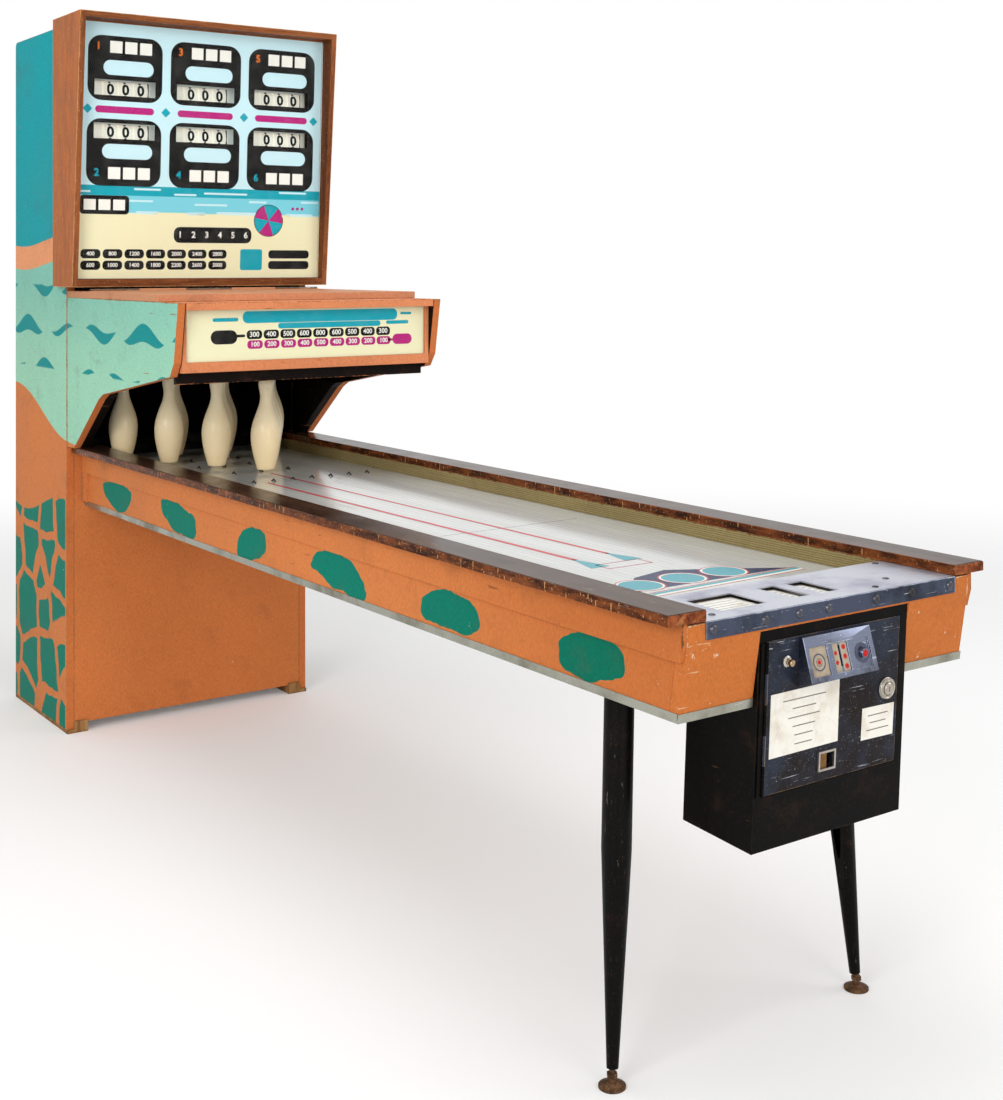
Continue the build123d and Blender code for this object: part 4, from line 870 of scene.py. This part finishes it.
# Backglass frame
# Solid hardwood rails and stiles, varnished a warm orange-brown and hung on the cabinet by the
# left edge. Hands have rubbed the corners pale. The inner reveal is darkened with painted shade,
# and the outer flanks are lightened, partly rubbed wood and partly painted light.
material, spot = finish_named("frame varnish")
x, y, z = part_of(spot)
(rails, _, pores), (stiles, *_) = (
    use(wood_grain, turned(spot, turn=turn), rgb(146, 88, 54), rgb(88, 50, 32), 300.0)
    for turn in ((0, 0, 90), (90, 0, 0)))
tone = mix(step(abs(x), 0.3298, 0.3302), rails, stiles)
sheared = read("CombineXYZ", x, y + (z - 1.094) * 0.0881, z)
edge = worn_edge(sheared, ((-0.3445, 0.824, 1.094), (0.3445, 1.2, 1.752)), 0.005)
flank = step(abs(faced(spot)[0]), 0.6, 0.8)
# The outer flanks are lightened: partly rubbed wood, and partly painted light where the lamps fall on them.
rubbed_and_lit_outer = flank * step(abs(x), 0.3436, 0.344)
rubbed = step(speckle(turned(spot, (60, 60, 14)), 1.0, 5, 0.7), 0.4, 0.7)
tone = mix(rubbed_and_lit_outer * (rubbed * 0.5 + 0.4), tone, rgb(190, 112, 66))
# Painted shade: the inner faces of the stiles, towards the glass, are darkened.
shaded_reveal = step(abs(x), 0.334, 0.333) * flank
tone = mix(shaded_reveal * 0.5, tone, rgb(70, 38, 22))
chips = step(speckle(spot, 210, 4, 0.75), 0.62, 0.67)
tone = mix(chips * 0.6, tone, rgb(226, 176, 122))
tone = mix(edge * 0.8, tone, rgb(212, 160, 108))
dull = edge * 0.2 + (rubbed * 0.2 + 0.42)
dress("backglass_frame", coat(material, tone, dull, pores, 0.0001))
dress("backglass", clear_glass)

# Light board
# A shallow tray of thin board, painted flat white in front so that it lights the glass evenly,
# and left bare behind.
material, spot = finish_named("light board paint")
x, y, z = part_of(spot)
dust = speckle(spot, 10, 5, 0.65)
front = mix(step(dust, 0.5, 0.8), rgb(236, 236, 230), rgb(206, 200, 184))
bare = mix(speckle(turned(spot, (220, 220, 30)), 1.0, 4, 0.6), rgb(182, 140, 92), rgb(132, 92, 54))
dress("light_board", coat(material, mix(step(y, 0.8685, 0.869), front, bare), 0.7))

# Backglass print
# Flat coloured inks screened on the back of the pane: sky, sea and sand behind six black
# score plates. Only the windows for the score drums are left clear.
glass_face = moved(0, 0.84, 1.112) @ tipped(2.744, "X") @ moved(0, 0.00526, 0) @ forward
columns = (-0.212, 0.0, 0.212)
openings = [(x, up) for x in columns for up in (0.467, 0.362)]


def pierced(shapes, holes):
    """Joins flat shapes and cuts rectangular openings through them."""
    half_width, half_height = 0.0775, 0.019
    sheet = gather("sheet", shapes)
    bpy.context.view_layer.objects.active = sheet
    sheet.select_set(True)
    with editing():
        for x in sorted({x + side * half_width for x, up in holes for side in (-1, 1)}):
            cut_at((x, 0, 0), (1, 0, 0))
        for y in sorted({up + side * half_height for x, up in holes for side in (-1, 1)}):
            cut_at((0, y, 0), (0, 1, 0))
        bpy.ops.mesh.select_mode(type="FACE")
        bpy.ops.mesh.select_all(action="DESELECT")
    for face in sheet.data.polygons:
        face.select = any(abs(face.center.x - x) < half_width and abs(face.center.y - up) < half_height
                          for x, up in holes)
    bpy.ops.object.mode_set(mode="EDIT")
    bpy.ops.mesh.delete(type="FACE")
    bpy.ops.mesh.select_mode(type="VERT")
    bpy.ops.object.mode_set(mode="OBJECT")
    return sheet


def wedge(radius, x, y, turn):
    """A slice of a disc, sixty degrees wide."""
    slice_of_disc = disc(radius, x, y)
    with editing():
        for side in (-1, 1):
            edge = math.radians(turn + side * 30)
            cut_at((x, y, 0), (-side * math.sin(edge), side * math.cos(edge), 0), trim=True)
    return slice_of_disc


score_rows = (0.5655, 0.2595)
uppers = [tile(0.190, 0.157, x, 0.5135, 0.034) for x in columns]
lowers = [tile(0.190, 0.163, x, 0.3095, 0.034) for x in columns]
hollows = [tile(0.128, 0.036, x + 0.008, up, 0.018) for x in columns for up in (0.5155, 0.3125)]
boxes = [tile(0.031, 0.029, x + 0.0135 + 0.038 * place, up, 0.001)
         for x in columns for up in score_rows for place in (-1, 0, 1)]
bars = [tile(0.150, 0.017, x, 0.4135, 0.0085) for x in columns]
bars += [disc(0.0042, 0.265 + 0.0135 * place, 0.182) for place in (-1, 0, 1)]
gaps = [tile(0.017, 0.017, x, 0.4135, 0.002, 45) for x in (-0.306, -0.106, 0.106, 0.306)]
panel = [tile(0.125, 0.046, -0.2595, 0.182, 0.010), tile(0.213, 0.040, 0.0275, 0.1105, 0.016)]
panel_boxes = [tile(0.030, 0.026, -0.2595 + 0.037 * place, 0.182, 0.001) for place in (-1, 0, 1)]
stones = [tile(0.050, 0.0225, -0.2925 + 0.0555 * place, up, 0.0095) for place in range(7)
          for up in (0.0345, 0.0625)]
stones += [tile(0.118, 0.0215, 0.2425, up, 0.009) for up in (0.0345, 0.0625)]
streaks = ((-0.15, 0.222, 0.07), (0.06, 0.216, 0.12), (0.25, 0.223, 0.08), (-0.05, 0.211, 0.06),
           (0.15, 0.197, 0.05), (-0.17, 0.193, 0.07), (0.02, 0.187, 0.09), (0.30, 0.199, 0.05),
           (-0.31, 0.214, 0.03))
ripples = [tile(width, 0.005, x, up, 0.0025) for x, up, width in streaks]
streaks = ((-0.15, 0.1645, 0.06), (0.10, 0.1665, 0.13), (-0.02, 0.1640, 0.05), (0.27, 0.1650, 0.08),
           (-0.29, 0.1650, 0.05))
ripples += [tile(width, 0.007, x, up, 0.0035) for x, up, width in streaks]
streaks = ((-0.08, 0.1605, 0.10), (0.20, 0.1600, 0.09), (0.02, 0.1590, 0.08))
dunes = [tile(width, 0.010, x, up, 0.005) for x, up, width in streaks]
ball = (0.182, 0.150)
numbers = [figures(2 * place + row + 1, 0.026, x - 0.069, up, 0.0008)
           for place, x in enumerate(columns) for row, up in enumerate(score_rows)]
plain = [figures(place + 1, 0.022, -0.062 + 0.036 * place, 0.1105, 0.0006) for place in range(6)]
for row, up in enumerate((0.0625, 0.0345)):
    plain += [figures(400 * (place + 1) + 200 * row, 0.0135, -0.2925 + 0.0555 * place, up, 0.0004)
              for place in range(7)]
print_set("glass_print", glass_face, "backglass_door",
          (("sky", 0, [pierced([tile(0.655, 0.621, 0, 0.3125)], openings)], "sky"),
           ("sea", 1, [tile(0.655, 0.024, 0, 0.2175)], "teal"),
           ("shallows", 1, [tile(0.655, 0.042, 0, 0.1845)], "shallow"),
           ("sand", 1, [tile(0.655, 0.160, 0, 0.0825)], "cream"),
           ("ripples", 2, ripples, "sky"),
           ("dunes", 2, dunes, "cream"),
           ("rim", 2, [disc(0.0418, *ball)], "black"),
           ("pods", 3, [pierced(uppers + lowers, openings)] + panel + stones, "black"),
           ("bars", 3, bars, "magenta"),
           ("block", 3, [tile(0.062, 0.054, 0.1345, 0.0485, 0.006)] + gaps, "teal"),
           ("ball", 3, [disc(0.040, *ball)], "white"),
           ("hollows", 4, hollows, "sky"),
           ("boxes", 4, boxes + panel_boxes, "white"),
           ("ball_red", 4, [wedge(0.040, *ball, turn) for turn in (20, 140, 260)], "magenta"),
           ("ball_blue", 4, [wedge(0.040, *ball, turn) for turn in (80, 200, 320)], "teal"),
           ("numbers", 4, numbers[::2], "orange"),
           ("even_numbers", 4, numbers[1::2], "teal"),
           ("figures", 4, plain, "white")))

# Score drums
# Six counters of four moulded drums on two shafts. A faint painted glow in their plastic stands in
# for the lamps behind them. The first drum of each is blank, and the others carry the ten figures
# wrapped round their rims.
drum = turn_up("drum", ((6, 0), (40.5, 0), (41, 0.6), (41, 2.2), (43, 2.8), (44.6, 2.8), (45, 3.2),
                        (45, 37.2), (44.6, 37.6), (42.8, 37.6), (42.5, 37.2), (42.5, 5), (11, 4.5),
                        (10.5, 37.2), (6, 37.5), (6, 0)), 48, base=False)
glowing_drum_plastic = ink("drum plastic with painted glow", rgb(250, 246, 234), 0.45, 0.1, 40)
# Painted light: the drum plastic glows faintly, as if lit by lamps behind it, though none is there.
fill(glowing_drum_plastic.node_tree.nodes["Principled BSDF"], Emission_Color=(1.0, 0.93, 0.80, 1.0),
     Emission_Strength=0.22)
drum_figure = ink("drum figures", rgb(24, 22, 20), 0.5, 0.1, 60)
shaft = turn_up("shaft", ((4.6, 0), (5, 0.4), (5, 616), (4.6, 616.4), (0, 616.4)), 24)
shaft_steel = metal("reel shaft", rgb(150, 148, 142), 0.4)
axis_y = (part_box("score_reels_upper")[0][1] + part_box("score_reels_upper")[1][1]) / 2
shaft_heights = (1.579, 1.474)
starts = [x - 0.078 + 0.039 * place for x in columns for place in range(4)]
drum_copies = copies(drum, [moved(x + 0.0002, axis_y, z) @ sideways for z in shaft_heights for x in starts])
shaft_copies = copies(shaft, [moved(-0.3082, axis_y, z) @ sideways for z in shaft_heights])
rim_radius = 0.04515
figure_copies = [[], []]
for value in range(10):
    shape = figures(value, 0.036, 0, 0, 0.0014)
    with editing():
        for place in range(-4, 5):
            cut_at((0, place * 0.003, 0), (0, 1, 0))
    for point in shape.data.vertices:
        turn = point.co.y / rim_radius
        point.co = Vector((point.co.x, -rim_radius * math.cos(turn), rim_radius * math.sin(turn)))
    made = copies(shape, [moved(starts[place] + 0.0195, axis_y, z) @ tipped(36 * value, "X")
                          for z in shaft_heights for place in range(12) if place % 4])
    figure_copies[0] += made[:9]
    figure_copies[1] += made[9:]
for row, name in enumerate(("upper", "lower")):
    body = f"score_reels_{name}"
    drums = settle(gather(f"score_drums_{name}", drum_copies[12 * row:12 * row + 12]), glowing_drum_plastic, body)
    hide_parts(body)
    settle(gather(f"score_shaft_{name}", [shaft_copies[row]]), shaft_steel, body)
    film(f"score_figures_{name}", figure_copies[row], Matrix(), drum_figure, body)


# Coin box
# A folded steel box in black enamel, hung under the apron with a slight lean. The enamel has
# chipped to rust along the folds. Inside stand a zinc cash can and the coin selector.
box_place = moved(0, -1.281, 0.659) @ tipped(3, "X")


def box_spot(spot):
    """The place on the coin box, square with its lean."""
    return turned(spot, turn=(-3, 0, 0), move=box_place.inverted().translation)


material, spot = finish_named("box enamel")
edge = worn_edge(box_spot(spot), ((-0.149, -0.001, -0.304), (0.149, 0.136, 0.0)), 0.003)
tone, dull, relief = use(old_paint, spot, rgb(9, 8, 7), rgb(104, 76, 52), edge, 0.45)
tone = mix(edge * 0.55, tone, rgb(88, 66, 46))
dress("cash_box_housing", coat(material, tone, dull * 0.8 + 0.02, relief, 0.0002, shine=0.06))
dress("cash_can", metal("can zinc", rgb(168, 172, 170), 0.5, rgb(110, 108, 100)))
dress("coin_mechanism", metal("selector steel", rgb(170, 168, 160), 0.5, rgb(96, 88, 74)))

# Coin door
# A blue-black steel plate, hinged at its left, polished and scratched by years of coins. Its
# edge, the lock's bezel, the start bush and the rim of the coin return are bare metal.
material, spot = finish_named("door steel")
square = box_spot(spot)
x, y, z = part_of(square)
tone, dull, relief = use(metal_finish, spot, rgb(50, 56, 68), rgb(40, 32, 26), 0.8)
edge = worn_edge(square, ((-0.134, -0.0005, -0.228), (0.134, 0.003, -0.016)), 0.0022)
edge = edge * step(x, -0.135, -0.1345)
rust = step(speckle(spot, 26, 6, 0.7), 0.5, 0.72)
tone = mix(rust * 0.65, tone, rgb(46, 36, 28))
flecks = step(speckle(spot, 330, 4, 0.75), 0.62, 0.67)
tone = mix(flecks * 0.6, tone, rgb(152, 142, 128))
tone = mix(edge * 0.8, tone, rgb(140, 112, 84))
silver = use(metal_finish, spot, rgb(188, 184, 176), rgb(120, 104, 86), 0.6)[0]


def near(middle_x, middle_z, radius):
    """One inside a circle on the door's face, nought outside."""
    away = read("CombineXYZ", x - middle_x, z - middle_z, 0.0)
    return step(read("VectorMath", away, operation="LENGTH", out="Value"), radius + 0.0002, radius - 0.0002)


proud = step(y, -0.0002, -0.0006)
fittings = calc("MAXIMUM", near(0.11, -0.118, 0.0162), near(-0.095, -0.048, 0.0086))
rim = step(abs(x + 0.01), 0.0185, 0.0175) * step(abs(z + 0.2), 0.0155, 0.0145)
fittings = calc("MAXIMUM", fittings, rim) * proud
tone = mix(fittings, tone, silver)
dull = fittings * -0.1 + (dull * 0.75 + 0.14)
dress("coin_door", coat(material, tone, dull, relief, 0.00006, fittings * 0.35 + 0.6))

# Coin entry head
# A chromed die casting with three sunk windows: a cream card, the coin slot between printed
# strips with plain red spots, and the reject button in its ring.
head_chrome = metal("scuffed chrome", rgb(118, 124, 142), 0.85, rgb(56, 54, 58), 0.0001)
dress("coin_entry_head", head_chrome, 0.0005)
head_face = box_place @ moved(0, -0.006, -0.018) @ tipped(-19.65, "X")
window_floor = head_face @ moved(0, 0.0024, 0) @ forward
card = paper("window card", rgb(166, 152, 132), rgb(116, 98, 78))
cards = [tile(width, 0.0396, x, -0.03505)
         for width, x in ((0.0334, -0.048), (0.0122, -0.0135), (0.0122, 0.0035))]
film("window_cards", cards, window_floor, card, "coin_door", 0.00008)
raised = window_floor @ moved(0, 0, 0.0001)
ring = [disc(0.0120, -0.048, -0.036, 0.0100), disc(0.0056, -0.048, -0.036, 0.0046),
        disc(0.0142, 0.038, -0.03505, 0.0088)]
film("window_rings", ring, raised, ink("window grey", rgb(76, 80, 96), 0.4, 0.2, 160), "coin_door")
spots = [disc(0.0036, 0.0036, up) for up in (-0.022, -0.035, -0.048)]
spots += [disc(0.0030, -0.0136, up) for up in (-0.0285, -0.0415)] + [disc(0.0032, -0.048, -0.036)]
spot_red = ink("spot red", rgb(176, 38, 38), 0.35, 0.3, 160)
film("window_spots", spots, raised, spot_red, "coin_door")
screw = turn_up("head_screw", ((2.7, 0), (2.6, 0.5), (1.8, 1), (0, 1.2)), 20)
screws = copies(screw, [head_face @ moved(x, 0, -0.059) @ forward for x in (-0.057, -0.005, 0.046)])
settle(gather("head_screws", screws), head_chrome, "coin_door")

# Door fittings
# A turned start button in a bush, a reject button with a red cap, a lock with a grooved
# bezel, and a small brass gate in the coin return.
button = turn_up("start", ((7, -14.4), (7, -12.4), (5, -12.3), (5, 6), (4.4, 6.6), (4.4, 7.8), (5, 8.4),
                           (5, 11.2), (4.5, 12.2), (3, 12.8), (0, 13)))
button.matrix_world = box_place @ moved(-0.095, 0, -0.048) @ forward
worn_steel = metal("worn brass steel", rgb(176, 150, 116), 0.7, rgb(84, 62, 44))
button = settle(gather("start_button_turned", [button]), worn_steel, "start_button")
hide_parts("start_button")
button = turn_up("reject", ((5.5, -14.4), (5.5, -12.4), (3.5, -12.3), (3.5, 5), (7, 5), (7, 21.2),
                            (6.6, 22), (5.6, 22.3), (5.2, 22.1), (0, 22.1)))
cap = turn_up("cap", ((5, 21.9), (4.9, 22.6), (4.2, 23.1), (2.6, 23.4), (0, 23.5)))
for shape in (button, cap):
    shape.matrix_world = box_place @ moved(0.038, 0, -0.051) @ forward
button = settle(gather("reject_button_turned", [button]), head_chrome, "reject_button")
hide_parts("reject_button")
settle(gather("reject_button_cap", [cap]), spot_red, "reject_button")
ring = turn_up("ring", ((9.8, 2.8), (15, 2.8), (15.2, 3.6), (14.6, 4.6), (13.2, 5), (12.4, 4.4),
                        (11.6, 4.4), (11, 5), (10.2, 4.8), (9.8, 4), (9.8, 2.8)), 48, base=False)
ring.matrix_world = box_place @ moved(0.11, 0, -0.118) @ forward
lock_chrome = metal("lock chrome", rgb(186, 178, 166), 0.6, rgb(96, 84, 70))
settle(gather("lock_ring", [ring]), lock_chrome, "coin_door")
dress("lock_cylinder", lock_chrome)
dress("coin_return_flap", metal("old brass", rgb(150, 112, 66), 0.8, rgb(80, 56, 34)))

# Labels
# Two paper notices glued to the coin door, each ruled with a few grey lines.
label_place = box_place @ moved(0, -0.0003, 0) @ forward
labels = [tile(0.138, 0.088, -0.057, -0.134, turn=0.5), tile(0.067, 0.046, 0.0945, -0.164, turn=-1.0)]
label_paper = paper("label paper", rgb(226, 222, 212), rgb(206, 196, 180))
film("door_labels", labels, label_place, label_paper, "coin_door", 0.0002)
rules = [tile(width, 0.0016, -0.057, -0.1035 - 0.0125 * row)
         for row, width in enumerate((0.084, 0.046, 0.062, 0.044, 0.036, 0.034))]
rules += [tile(width, 0.0016, 0.0945, -0.153 - 0.0105 * row)
          for row, width in enumerate((0.042, 0.034, 0.046))]
film("label_rules", rules, label_place @ moved(0, 0, 0.00006),
     ink("label print", rgb(120, 114, 108), 0.6, 0.3), "coin_door")


# Legs
# Two pressed steel channels, tapered and splayed, in black enamel that has chipped near the
# floor. Each stands on a screwed levelling foot that has rusted brown.
for name in ("leg_left", "leg_right"):
    material, spot = finish_named(name + " enamel")
    z = part_of(spot)[2]
    wear = step(z, 0.42, 0.03) * 0.7 + 0.3
    tone, dull, relief = use(old_paint, spot, rgb(10, 9, 8), rgb(122, 84, 56), 0.0, wear)
    nicks = step(speckle(turned(spot, (150, 150, 40)), 1.0, 4, 0.7), 0.64, 0.69)
    tone = mix(nicks * 0.6, tone, rgb(98, 86, 74))
    dress(name, coat(material, tone, dull * 0.8 + 0.02, relief, 0.0002, shine=0.08))
material, spot = finish_named("foot rust")
patch_of_rust = speckle(spot, 60, 6, 0.7)
tone = mix(step(patch_of_rust, 0.38, 0.66), rgb(62, 48, 38), rgb(112, 82, 60))
tone = mix(step(speckle(spot, 420, 3, 0.7), 0.56, 0.7), tone, rgb(150, 116, 86))
foot_rust = coat(material, tone, patch_of_rust * 0.4 + 0.45, patch_of_rust, 0.0004, 0.35)
for name in ("leveller_left", "leveller_right"):
    dress(name, foot_rust, 0.0003)

# Relay panel
# A plywood shelf behind the pins with two rows of relays and a pair of stepping switches,
# their coils bound in varnished tape.
material, spot = finish_named("relay panel")
x, y, z = part_of(spot)
floor_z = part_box("relay_panel")[0][2]
wood, _, pores = use(wood_grain, turned(spot, turn=(0, 0, 90)), rgb(186, 146, 98), rgb(128, 92, 58),
                     420.0)
bakelite = mix(step(speckle(spot, 40, 5, 0.7), 0.45, 0.7), rgb(42, 34, 30), rgb(86, 74, 62))
layers = calc("FRACT", z * 210.0)
contacts = step(layers, 0.42, 0.5) * step(y, 1.129, 1.128)
bakelite = mix(contacts, bakelite, rgb(176, 148, 96))
turns = calc("FRACT", y * 420.0)
tape = mix(step(turns, 0.35, 0.5), rgb(150, 84, 40), rgb(98, 50, 26))
tone = mix(step(y, 1.1215, 1.1225), tape, bakelite)
board_zone = calc("MAXIMUM", step(y, 1.1594, 1.1598), step(z, floor_z + 0.0192, floor_z + 0.019))
tone = mix(board_zone, tone, wood)
dress("relay_panel", coat(material, tone, board_zone * 0.3 + 0.4, pores, 0.0001))

# Transformer
# A stack of varnished laminations clamped on a steel foot, its coil wrapped in brown paper.
material, spot = finish_named("transformer")
x, y, z = part_of(spot)
stack = calc("FRACT", y * 900.0)
core = mix(step(stack, 0.3, 0.6), rgb(58, 56, 58), rgb(92, 88, 84))
coil = mix(speckle(spot, 90, 4, 0.6), rgb(150, 100, 56), rgb(96, 60, 34))
outside = step(abs(y - 0.998), 0.0392, 0.0396)
tone = mix(outside, core, coil)
dress("transformer", coat(material, tone, 0.5, stack, 0.0001))
